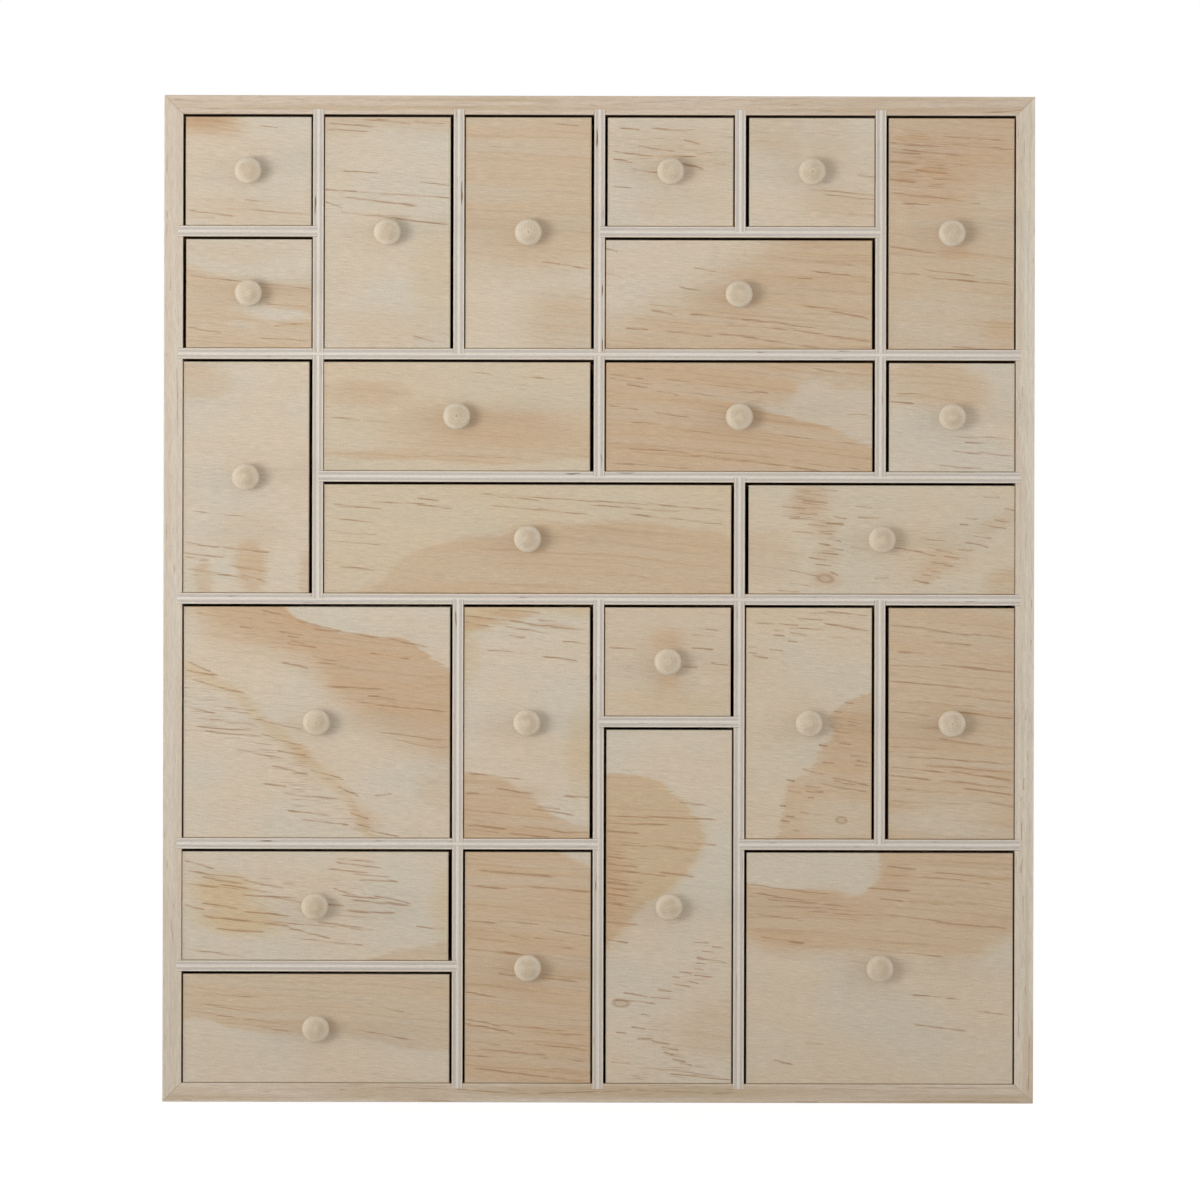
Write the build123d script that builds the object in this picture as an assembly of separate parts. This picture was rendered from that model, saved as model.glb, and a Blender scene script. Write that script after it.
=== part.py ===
from build123d import *
import os

# A chest of small drawers: a mitred pine frame, plywood shelves and uprights let into each
# other, a rebated back panel, and drawers of glued boards with turned knobs.
# Millimetres. X runs to the right, Y from front to back, Z up.
# The origin is the middle of the underside.

# Frame
case_width = 346.0
case_height = 400.0
case_depth = 80.0
frame_thickness = 7.5

# Shelves and uprights
columns = 6
rows = 8
divider_thickness = 4.3
housing_depth = 2.0
opposed_housing_depth = 1.4  # where two ends are let into one divider from both sides
housing_clearance = 0.1

# Back panel and its pins
back_thickness = 3.0
rebate_width = 4.0
rebate_clearance = 0.3
pin_diameter = 1.2
pin_length = 14.0
pin_head_diameter = 2.4
pin_head_thickness = 0.6
pin_clearance = 0.04

# Drawer boards
front_thickness = 4.0
front_chamfer = 0.4
side_thickness = 3.0
rear_thickness = 3.0
bottom_thickness = 3.0
side_drop = 1.5  # the sides and back end this far below the top of the front

# Room for a drawer in its compartment
side_play = 1.6  # both sides together
head_room = 1.05
seat_gap = 0.1
rear_room = 2.0
front_recess = 0.5

# Knob
knob_diameter = 10.8
knob_neck_diameter = 6.0
knob_neck_length = 3.4
knob_cove_radius = 1.6
knob_rim_height = 4.0
knob_face_diameter = 9.2
knob_dome_height = 1.8
tenon_diameter = 4.0
tenon_clearance = 0.1

# Shelves as row line, first column line, last column line
shelf_groups = {
    "upper_long_shelf": [(2, 0, 6)],
    "lower_long_shelf": [(4, 0, 6)],
    "short_shelves": [(1, 0, 1), (1, 3, 5), (3, 1, 6), (5, 3, 4), (6, 0, 3), (6, 4, 6), (7, 0, 2)],
}

# Uprights as column line, first row line, last row line, counted from the top
upright_groups = {
    "upper_uprights": [(1, 0, 2), (2, 0, 2), (3, 0, 2), (4, 0, 1), (5, 0, 2)],
    "middle_uprights": [(1, 2, 4), (3, 2, 3), (4, 3, 4), (5, 2, 3)],
    "lower_uprights": [(2, 4, 6), (2, 6, 8), (3, 4, 8), (4, 4, 8), (5, 4, 6)],
}

# Drawers as first column, first row, columns wide, rows high, and where the drawer stands in
# its side play, from -1 (against the left) to 1 (against the right)
drawers = [
    (0, 0, 1, 1, 0.25),
    (0, 1, 1, 1, 0.55),
    (1, 0, 1, 2, -0.5),
    (2, 0, 1, 2, -0.4),
    (3, 0, 1, 1, 0.3),
    (4, 0, 1, 1, 0.7),
    (3, 1, 2, 1, -0.55),
    (5, 0, 1, 2, 0.2),
    (0, 2, 1, 2, -0.6),
    (1, 2, 2, 1, -0.8),
    (3, 2, 2, 1, -0.3),
    (5, 2, 1, 1, 0.6),
    (1, 3, 3, 1, -0.45),
    (4, 3, 2, 1, 0.8),
    (0, 4, 2, 2, -0.2),
    (2, 4, 1, 2, -0.6),
    (3, 4, 1, 1, -0.55),
    (4, 4, 1, 2, -0.3),
    (5, 4, 1, 2, 0.7),
    (0, 6, 2, 1, -0.8),
    (0, 7, 2, 1, -0.2),
    (2, 6, 1, 2, 0.05),
    (3, 5, 1, 3, 0.25),
    (4, 6, 2, 2, 0.2),
]

# Columns and rows that have a pin in the middle, along the frame boards
pin_columns = (0, 2, 3, 5)
pin_rows = (0, 2, 5, 7)

# Derived sizes
column_pitch = (case_width - 2 * frame_thickness + divider_thickness) / columns
row_pitch = (case_height - 2 * frame_thickness + divider_thickness) / rows
front_y = -case_depth / 2
back_y = case_depth / 2
panel_front_y = back_y - back_thickness
drawer_front_y = front_y + front_recess
drawer_rear_y = panel_front_y - rear_room
shelves = [shelf for group in shelf_groups.values() for shelf in group]
uprights = [upright for group in upright_groups.values() for upright in group]


def column_x(line):
    # Middle of the divider on a column line; the outer lines lie inside the frame boards
    return -case_width / 2 + frame_thickness - divider_thickness / 2 + line * column_pitch


def row_z(line):
    return case_height - frame_thickness + divider_thickness / 2 - line * row_pitch


def block(low, high):
    size = [high[i] - low[i] for i in range(3)]
    middle = [(high[i] + low[i]) / 2 for i in range(3)]
    return Pos(*middle) * Box(*size)


def solid_of(part):
    return part.solids()[0]


def end_depth(dividers, line, end):
    # How far an end is let in: less where another divider on the same line meets it there
    meeting = [divider for divider in dividers if divider[0] == line and end in divider[1:]]
    return opposed_housing_depth if len(meeting) > 1 else housing_depth


def shelf_block(shelf, clearance=0.0):
    line, first, last = shelf
    half = (divider_thickness + clearance) / 2
    left = column_x(first) + divider_thickness / 2 - end_depth(shelves, line, first)
    right = column_x(last) - divider_thickness / 2 + end_depth(shelves, line, last)
    return block((left, front_y, row_z(line) - half), (right, panel_front_y, row_z(line) + half))


def upright_block(upright, clearance=0.0):
    line, first, last = upright
    half = (divider_thickness + clearance) / 2
    top = row_z(first) - divider_thickness / 2 + end_depth(uprights, line, first)
    bottom = row_z(last) + divider_thickness / 2 - end_depth(uprights, line, last)
    return block((column_x(line) - half, front_y, bottom), (column_x(line) + half, panel_front_y, top))


def ends_within(divider, crossing):
    # True where an end of the crossing divider is let into this one between its own ends
    line, first, last = divider
    return line in crossing[1:] and first < crossing[0] < last


def make_shelf(shelf):
    housed = [upright_block(u, housing_clearance) for u in uprights if ends_within(shelf, u)]
    return solid_of(shelf_block(shelf) - housed)


def make_upright(upright):
    housed = [shelf_block(s, housing_clearance) for s in shelves if ends_within(upright, s)]
    return solid_of(upright_block(upright) - housed)


def panel_block(clearance=0.0):
    reach = rebate_width - frame_thickness - rebate_clearance / 2 + clearance / 2
    right = case_width / 2 + reach
    top = case_height + reach
    return block((-right, panel_front_y, case_height - top), (right, back_y, top))


def make_pin(x, z, clearance=0.0):
    shank = Cylinder(
        pin_diameter / 2 + clearance,
        pin_length + clearance,
        align=(Align.CENTER, Align.CENTER, Align.MIN),
    )
    head = Cylinder(
        pin_head_diameter / 2 + clearance,
        pin_head_thickness,
        align=(Align.CENTER, Align.CENTER, Align.MIN),
    )
    return Pos(x, back_y, z) * Rot(X=90) * (shank + head)


def pin_places():
    # In the middle of the rebate, clear of every housing
    inset = frame_thickness - rebate_width / 2
    side_x = case_width / 2 - inset
    for column in pin_columns:
        x = (column_x(column) + column_x(column + 1)) / 2
        yield x, case_height - inset
        yield x, inset
    for row in pin_rows:
        z = (row_z(row) + row_z(row + 1)) / 2
        yield -side_x, z
        yield side_x, z


def make_frame_board(outer_corners, inner_corners):
    outline = Polyline(*outer_corners, *reversed(inner_corners), close=True)
    face = make_face(Plane.XZ * outline)
    board = Pos(0, back_y, 0) * extrude(face, case_depth, dir=(0, -1, 0))
    housed = [shelf_block(s, housing_clearance) for s in shelves]
    housed += [upright_block(u, housing_clearance) for u in uprights]
    pins = [make_pin(x, z, pin_clearance) for x, z in pin_places()]
    return solid_of(board - housed - panel_block(rebate_clearance) - pins)


def make_frame():
    right = case_width / 2
    inner_right = right - frame_thickness
    inner_top = case_height - frame_thickness
    outer = [(-right, 0), (-right, case_height), (right, case_height), (right, 0)]
    inner = [
        (-inner_right, frame_thickness),
        (-inner_right, inner_top),
        (inner_right, inner_top),
        (inner_right, frame_thickness),
    ]
    boards = {}
    for index, side in enumerate(("left", "top", "right", "bottom")):
        ends = (index, (index + 1) % 4)
        boards[f"frame_{side}_board"] = make_frame_board(
            [outer[end] for end in ends],
            [inner[end] for end in ends],
        )
    return boards


def make_back_panel():
    pins = [make_pin(x, z, pin_clearance) for x, z in pin_places()]
    return solid_of(panel_block() - pins)


def drawer_box(drawer):
    # Lowest and highest corners of a drawer without its knob
    column, row, wide, high, stand = drawer
    left = column_x(column) + divider_thickness / 2
    right = column_x(column + wide) - divider_thickness / 2
    floor = row_z(row + high) + divider_thickness / 2
    ceiling = row_z(row) - divider_thickness / 2
    shift = stand * side_play / 2
    low = (left + side_play / 2 + shift, drawer_front_y, floor + seat_gap)
    high_corner = (right - side_play / 2 + shift, drawer_rear_y, ceiling - head_room)
    return low, high_corner


def drawer_inside(drawer):
    # The hollow between the boards of a drawer, up to the top of its sides
    (left, front, floor), (right, rear, top) = drawer_box(drawer)
    low = (left + side_thickness, front + front_thickness, floor + bottom_thickness)
    high = (right - side_thickness, rear - rear_thickness, top - side_drop)
    return low, high


def make_front(low, high):
    board = block(low, (high[0], low[1] + front_thickness, high[2]))
    board = chamfer(board.faces().sort_by(Axis.Y)[0].edges(), front_chamfer)
    hole = Cylinder((tenon_diameter + tenon_clearance) / 2, front_thickness * 2)
    middle = ((low[0] + high[0]) / 2, low[1] + front_thickness / 2, (low[2] + high[2]) / 2)
    return solid_of(board - Pos(*middle) * Rot(X=90) * hole)


def make_drawer(drawer):
    low, high = drawer_box(drawer)
    inner_low, inner_high = drawer_inside(drawer)
    front = make_front(low, high)
    left_side = block((low[0], inner_low[1], low[2]), (inner_low[0], high[1], inner_high[2]))
    right_side = block((inner_high[0], inner_low[1], low[2]), (high[0], high[1], inner_high[2]))
    rear = block((inner_low[0], inner_high[1], low[2]), (inner_high[0], high[1], inner_high[2]))
    bottom = block((inner_low[0], inner_low[1], low[2]), (inner_high[0], inner_high[1], inner_low[2]))
    return [front] + [solid_of(board) for board in (left_side, right_side, rear, bottom)]


def knob_profile():
    # Half section, with the turning axis upright and the drawer's face at height 0
    tenon = tenon_diameter / 2
    neck = knob_neck_diameter / 2
    under = knob_neck_length + knob_cove_radius
    rim_top = under + knob_rim_height
    tip = rim_top + knob_dome_height
    face = knob_face_diameter / 2
    dome_radius = (face**2 + knob_dome_height**2) / (2 * knob_dome_height)
    cove_end = (neck + knob_cove_radius, under)
    stem = Polyline(
        (0, tip),
        (0, -front_thickness),
        (tenon, -front_thickness),
        (tenon, 0),
        (neck, 0),
        (neck, knob_neck_length),
    )
    cove = RadiusArc((neck, knob_neck_length), cove_end, knob_cove_radius)
    rim = ThreePointArc(cove_end, (knob_diameter / 2, (under + rim_top) / 2), (face, rim_top))
    dome = RadiusArc((face, rim_top), (0, tip), -dome_radius)
    return make_face(Plane.XZ * (stem + [cove, rim, dome]))


def make_knob(drawer):
    low, high = drawer_box(drawer)
    turned = revolve(knob_profile(), Axis.Z)
    place = Pos((low[0] + high[0]) / 2, low[1], (low[2] + high[2]) / 2)
    return solid_of(place * Rot(X=90) * turned)


def make_nodes():
    nodes = make_frame()
    nodes["back_panel"] = make_back_panel()
    nodes["back_panel_pins"] = Compound([solid_of(make_pin(x, z)) for x, z in pin_places()])
    for name, group in shelf_groups.items():
        nodes[name] = Compound([make_shelf(shelf) for shelf in group])
    for name, group in upright_groups.items():
        nodes[name] = Compound([make_upright(upright) for upright in group])
    for number, drawer in enumerate(drawers, start=1):
        nodes[f"drawer_{number:02d}_box"] = Compound(make_drawer(drawer))
        nodes[f"drawer_{number:02d}_knob"] = make_knob(drawer)
    return nodes


os.makedirs("parts", exist_ok=True)
for node_name, node_shape in make_nodes().items():
    export_step(node_shape, f"parts/{node_name}.step")
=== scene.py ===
import bmesh
import bpy
import math
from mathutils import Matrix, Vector


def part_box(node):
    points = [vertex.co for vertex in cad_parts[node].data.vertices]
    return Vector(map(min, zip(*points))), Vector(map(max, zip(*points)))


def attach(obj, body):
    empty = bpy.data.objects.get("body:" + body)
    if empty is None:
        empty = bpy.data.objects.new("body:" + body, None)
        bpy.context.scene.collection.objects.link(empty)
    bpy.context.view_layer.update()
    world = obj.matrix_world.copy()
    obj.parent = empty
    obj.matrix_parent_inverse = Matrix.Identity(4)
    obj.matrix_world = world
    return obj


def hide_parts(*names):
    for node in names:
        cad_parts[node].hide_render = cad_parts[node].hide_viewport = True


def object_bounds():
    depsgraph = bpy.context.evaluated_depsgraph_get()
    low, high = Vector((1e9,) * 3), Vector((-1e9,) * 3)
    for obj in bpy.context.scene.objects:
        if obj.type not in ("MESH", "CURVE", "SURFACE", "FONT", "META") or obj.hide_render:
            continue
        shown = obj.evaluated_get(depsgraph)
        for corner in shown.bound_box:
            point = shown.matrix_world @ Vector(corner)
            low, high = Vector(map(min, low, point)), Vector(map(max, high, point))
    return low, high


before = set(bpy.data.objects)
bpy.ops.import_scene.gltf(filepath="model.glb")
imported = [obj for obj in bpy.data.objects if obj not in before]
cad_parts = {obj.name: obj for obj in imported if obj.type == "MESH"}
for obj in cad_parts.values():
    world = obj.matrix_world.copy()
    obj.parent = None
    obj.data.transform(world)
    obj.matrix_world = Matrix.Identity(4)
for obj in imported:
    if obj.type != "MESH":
        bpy.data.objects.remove(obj)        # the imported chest, in metres, with its front towards -Y
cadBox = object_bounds()
mm = 0.001
touching = 0.01 * mm     # what is nearer than this to a plane lies on it
weldReach = 0.002 * mm
axisX, axisY, axisZ = 0, 1, 2
lying = (axisX, axisY, axisZ)        # axes along the grain, across it and through the board
upright = (axisZ, axisY, axisX)
facing = (axisX, axisZ, axisY)
sideways = (axisY, axisZ, axisX)
drawerNumbers = sorted(name[7:9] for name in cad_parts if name.endswith("_box"))
print("frame loaded:", len(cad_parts), "parts,", len(drawerNumbers), "drawers")


# Shader helpers

def srgb(red, green, blue):
    shares = [value / 255 for value in (red, green, blue)]
    return (*[s / 12.92 if s <= 0.04045 else ((s + 0.055) / 1.055) ** 2.4 for s in shares], 1.0)


def plug(tree, socket, value):
    if isinstance(value, bpy.types.NodeSocket):
        tree.links.new(value, socket)
    else:
        socket.default_value = value


def calc(tree, operation, *values):
    node = tree.nodes.new("ShaderNodeMath")
    node.operation = operation
    for socket, value in zip(node.inputs, values):
        plug(tree, socket, value)
    return node.outputs[0]


def vectorCalc(tree, operation, first, second=(0.0, 0.0, 0.0)):
    node = tree.nodes.new("ShaderNodeVectorMath")
    node.operation = operation
    plug(tree, node.inputs[0], first)
    plug(tree, node.inputs[1], second)
    return node.outputs["Value" if operation == "LENGTH" else "Vector"]


def joinVector(tree, *values):
    node = tree.nodes.new("ShaderNodeCombineXYZ")
    for socket, value in zip(node.inputs, values):
        plug(tree, socket, value)
    return node.outputs[0]


def splitVector(tree, vector):
    node = tree.nodes.new("ShaderNodeSeparateXYZ")
    tree.links.new(vector, node.inputs[0])
    return node.outputs


def ramp(tree, value, start, end, low=0.0, high=1.0):
    node = tree.nodes.new("ShaderNodeMapRange")
    node.interpolation_type = "SMOOTHSTEP"
    names = ("Value", "From Min", "From Max", "To Min", "To Max")
    for name, setting in zip(names, (value, start, end, low, high)):
        plug(tree, node.inputs[name], setting)
    return node.outputs[0]


def noise(tree, place, stretch, detail=2.0):
    # the stretch is in waves per mm along the grain, across it and through the board
    node = tree.nodes.new("ShaderNodeTexNoise")
    node.inputs["Scale"].default_value = 1.0
    node.inputs["Detail"].default_value = detail
    tree.links.new(vectorCalc(tree, "MULTIPLY", place, stretch), node.inputs["Vector"])
    return node.outputs[0]


def shifted(tree, value, most):
    # a noise of about 0.5 made into a shift of at most so many mm either way
    return calc(tree, "MULTIPLY_ADD", value, 2 * most, -most)


def addShares(tree, level, *shares):
    # a level that noises of about 0.5 push up and down, each by its own share
    total = level - sum(share for value, share in shares) / 2
    for value, share in shares:
        total = calc(tree, "MULTIPLY_ADD", value, share, total)
    return total


def mixColor(tree, amount, first, second):
    node = tree.nodes.new("ShaderNodeMix")
    node.data_type = "RGBA"
    plug(tree, node.inputs[0], amount)
    plug(tree, node.inputs[6], first)
    plug(tree, node.inputs[7], second)
    return node.outputs[2]


def shade(tree, color, amount):
    node = tree.nodes.new("ShaderNodeVectorMath")
    node.operation = "SCALE"
    plug(tree, node.inputs[0], color)
    plug(tree, node.inputs["Scale"], amount)
    return node.outputs["Vector"]


def startMaterial(name, gloss):
    material = bpy.data.materials.new(name)
    material.use_nodes = True
    tree = material.node_tree
    shader = tree.nodes["Principled BSDF"]
    shader.inputs["Specular IOR Level"].default_value = gloss
    return material, tree, shader


def readGrain(tree, name="grain"):
    node = tree.nodes.new("ShaderNodeAttribute")
    node.attribute_name = name
    return node.outputs["Vector"]


def wornEdges(tree, reach):
    # 1 along the edges of a board, fading out unevenly over the reach in mm
    place = vectorCalc(tree, "ABSOLUTE", readGrain(tree, "place"))
    first, second, third = splitVector(tree, vectorCalc(tree, "SUBTRACT", readGrain(tree, "half"), place))
    lower, upper = calc(tree, "MINIMUM", first, second), calc(tree, "MAXIMUM", first, second)
    inset = calc(tree, "MAXIMUM", lower, calc(tree, "MINIMUM", upper, third))
    uneven = shifted(tree, noise(tree, readGrain(tree), (0.4, 0.4, 0.4)), reach)
    return ramp(tree, calc(tree, "ADD", inset, uneven), reach, 0.0)


bumpStrength = 0.7


def dress(tree, shader, color, roughness, height, depth):
    # the finished colour, roughness and bump, whose depth is in mm
    bump = tree.nodes.new("ShaderNodeBump")
    bump.inputs["Strength"].default_value = bumpStrength
    bump.inputs["Distance"].default_value = depth * mm
    plug(tree, bump.inputs["Height"], height)
    plug(tree, shader.inputs["Normal"], bump.outputs[0])
    plug(tree, shader.inputs["Base Color"], color)
    plug(tree, shader.inputs["Roughness"], roughness)


# Figure drawn on the wood, in mm from the middle of a piece: on a front, u is to the right and v up

def fitted(tree, place, middle, size, turn):
    # the place as a drawn shape sees it: 0 at its middle and 1 at its rim
    node = tree.nodes.new("ShaderNodeMapping")
    node.vector_type = "TEXTURE"
    node.inputs["Location"].default_value = (*middle, 0.0)
    node.inputs["Rotation"].default_value = (0.0, 0.0, turn)
    node.inputs["Scale"].default_value = (*size, 1.0)
    tree.links.new(place, node.inputs["Vector"])
    return node.outputs[0]


def ovalMask(tree, place, soft, middle, radii, turn):
    inOval = fitted(tree, place, middle, radii, math.radians(turn))
    return ramp(tree, vectorCalc(tree, "LENGTH", inOval), 1 + soft, 1 - soft)


def edgeMask(tree, place, kind, soft, points):
    # one side of a drawn edge: points run to the right, or upwards for leftOf and rightOf
    reach = max(abs(number) for point in points for number in point)
    u, v = splitVector(tree, place)[:2]
    along, height = (u, v) if kind in ("under", "over") else (v, u)
    curve = tree.nodes.new("ShaderNodeFloatCurve")
    spots = [(0.5 + x / (2 * reach), 0.5 + y / (2 * reach)) for x, y in points]
    line = curve.mapping.curves[0]
    line.points[0].location = spots[0]
    line.points[1].location = spots[-1]
    for spot in spots[1:-1]:
        line.points.new(*spot)
    curve.mapping.update()
    plug(tree, curve.inputs["Value"], calc(tree, "MULTIPLY_ADD", along, 0.5 / reach, 0.5))
    edge = calc(tree, "MULTIPLY_ADD", curve.outputs[0], 2 * reach, -reach)
    beyond = calc(tree, "SUBTRACT", height, edge)
    if kind in ("under", "leftOf"):
        return ramp(tree, beyond, soft, -soft)
    return ramp(tree, beyond, -soft, soft)


def strongest(tree, masks):
    # each mask is made just before it is compared, which keeps the shader small
    whole = None
    for mask in masks:
        whole = mask if whole is None else calc(tree, "MAXIMUM", whole, mask)
    return 0.0 if whole is None else whole


def fillMask(tree, place, strength, *shapes):
    # a region has its strength where all of its shapes hold
    for kind, soft, *drawn in shapes:
        if kind == "oval":
            inside = ovalMask(tree, place, soft, *drawn)
        else:
            inside = edgeMask(tree, place, kind, soft, *drawn)
        strength = calc(tree, "MULTIPLY", inside, strength)
    return strength


def regionMask(tree, place, regions):
    return strongest(tree, (fillMask(tree, place, *region) for region in regions))


def streakMask(tree, place, thickness, u0, v0, u1, v1, strength):
    # from one point to another, 1 along the middle and fading at the sides and at both ends
    middle = ((u0 + u1) / 2, (v0 + v1) / 2)
    size = (math.hypot(u1 - u0, v1 - v0) / 2, thickness)
    inStreak = fitted(tree, place, middle, size, math.atan2(v1 - v0, u1 - u0))
    along, across = splitVector(tree, vectorCalc(tree, "ABSOLUTE", inStreak))[:2]
    ends = ramp(tree, along, 1.25, 0.8, 0.0, 0.5 + 0.5 * strength)
    return calc(tree, "MULTIPLY", ends, ramp(tree, across, 1.0, 0.0))


def lineMask(tree, place, lines, thickness):
    return strongest(tree, (streakMask(tree, place, thickness, *line) for line in lines))


# Veneered plywood

veneer = {
    "cream": srgb(211, 194, 171),
    "pale": srgb(207, 196, 177),
    "heart": srgb(200, 174, 143),
    "ochre": srgb(203, 178, 138),
    "streak": srgb(154, 113, 74),
    "rust": srgb(190, 150, 110),
    "knot": srgb(160, 120, 84),
    "slope": 4.5,          # degrees that the grain falls to the right
    "swell": 4.5,          # mm that the fibres swing to either side
    "rag": 4.0,            # mm that a heartwood edge feathers along the grain
    "wander": 5.0,         # mm that it wanders across the grain
    "drift": 0.9,          # mm that a drawn streak leaves its straight line
    "lineThickness": 0.95, # mm, half of the band in which a streak's dashes gather
    "coreStrength": 0.75,  # of a streak's dark middle
    "wispStrength": 0.2,   # of the rust round it
    "clusterShare": 0.7,   # how far a cluster gathers dashes, where a streak does it fully
    "dashLevel": 0.7,      # of the noise, where a dash begins
    "dashGather": 0.22,    # lower by this where the dashes gather
    "dashSoft": 0.12,
    "streakShare": 0.8,
    "knotTurn": -6,        # degrees
    "knotSoft": 0.3,
    "knotCore": 0.6,       # share of a knot's radii that is paler again
    "toneShares": (0.18, 0.42, 0.46, 0.1),    # of the fine grain, hair, silk and growth
    "wornReach": 0.7,      # mm from the edges
    "wornPaler": 0.05,
    "wornRougher": 0.08,
    "bumpDepth": 0.05,     # mm
    "gloss": 0.25,
}

everywhere = ("oval", 0.1, (0, 0), (400, 400), 0)   # wider than any front


def oval(strength, soft, u, v, radiusU, radiusV, turn=0):
    # a region of one shape: how strong it is, how soft its rim, its middle, its radii and its turn
    return strength, ("oval", soft, (u, v), (radiusU, radiusV), turn)


# Edges on drawer 15 that several regions share
heartTop = [(-53, 60), (-14, 46), (0, 38.5), (10, 35), (38, 32), (45, 27), (53, 21)]
slantTop = [(-53, 25), (-35, 17), (-25, 7), (-12, -5), (0, -15), (10, -24), (20, -40), (53, -80)]

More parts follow.
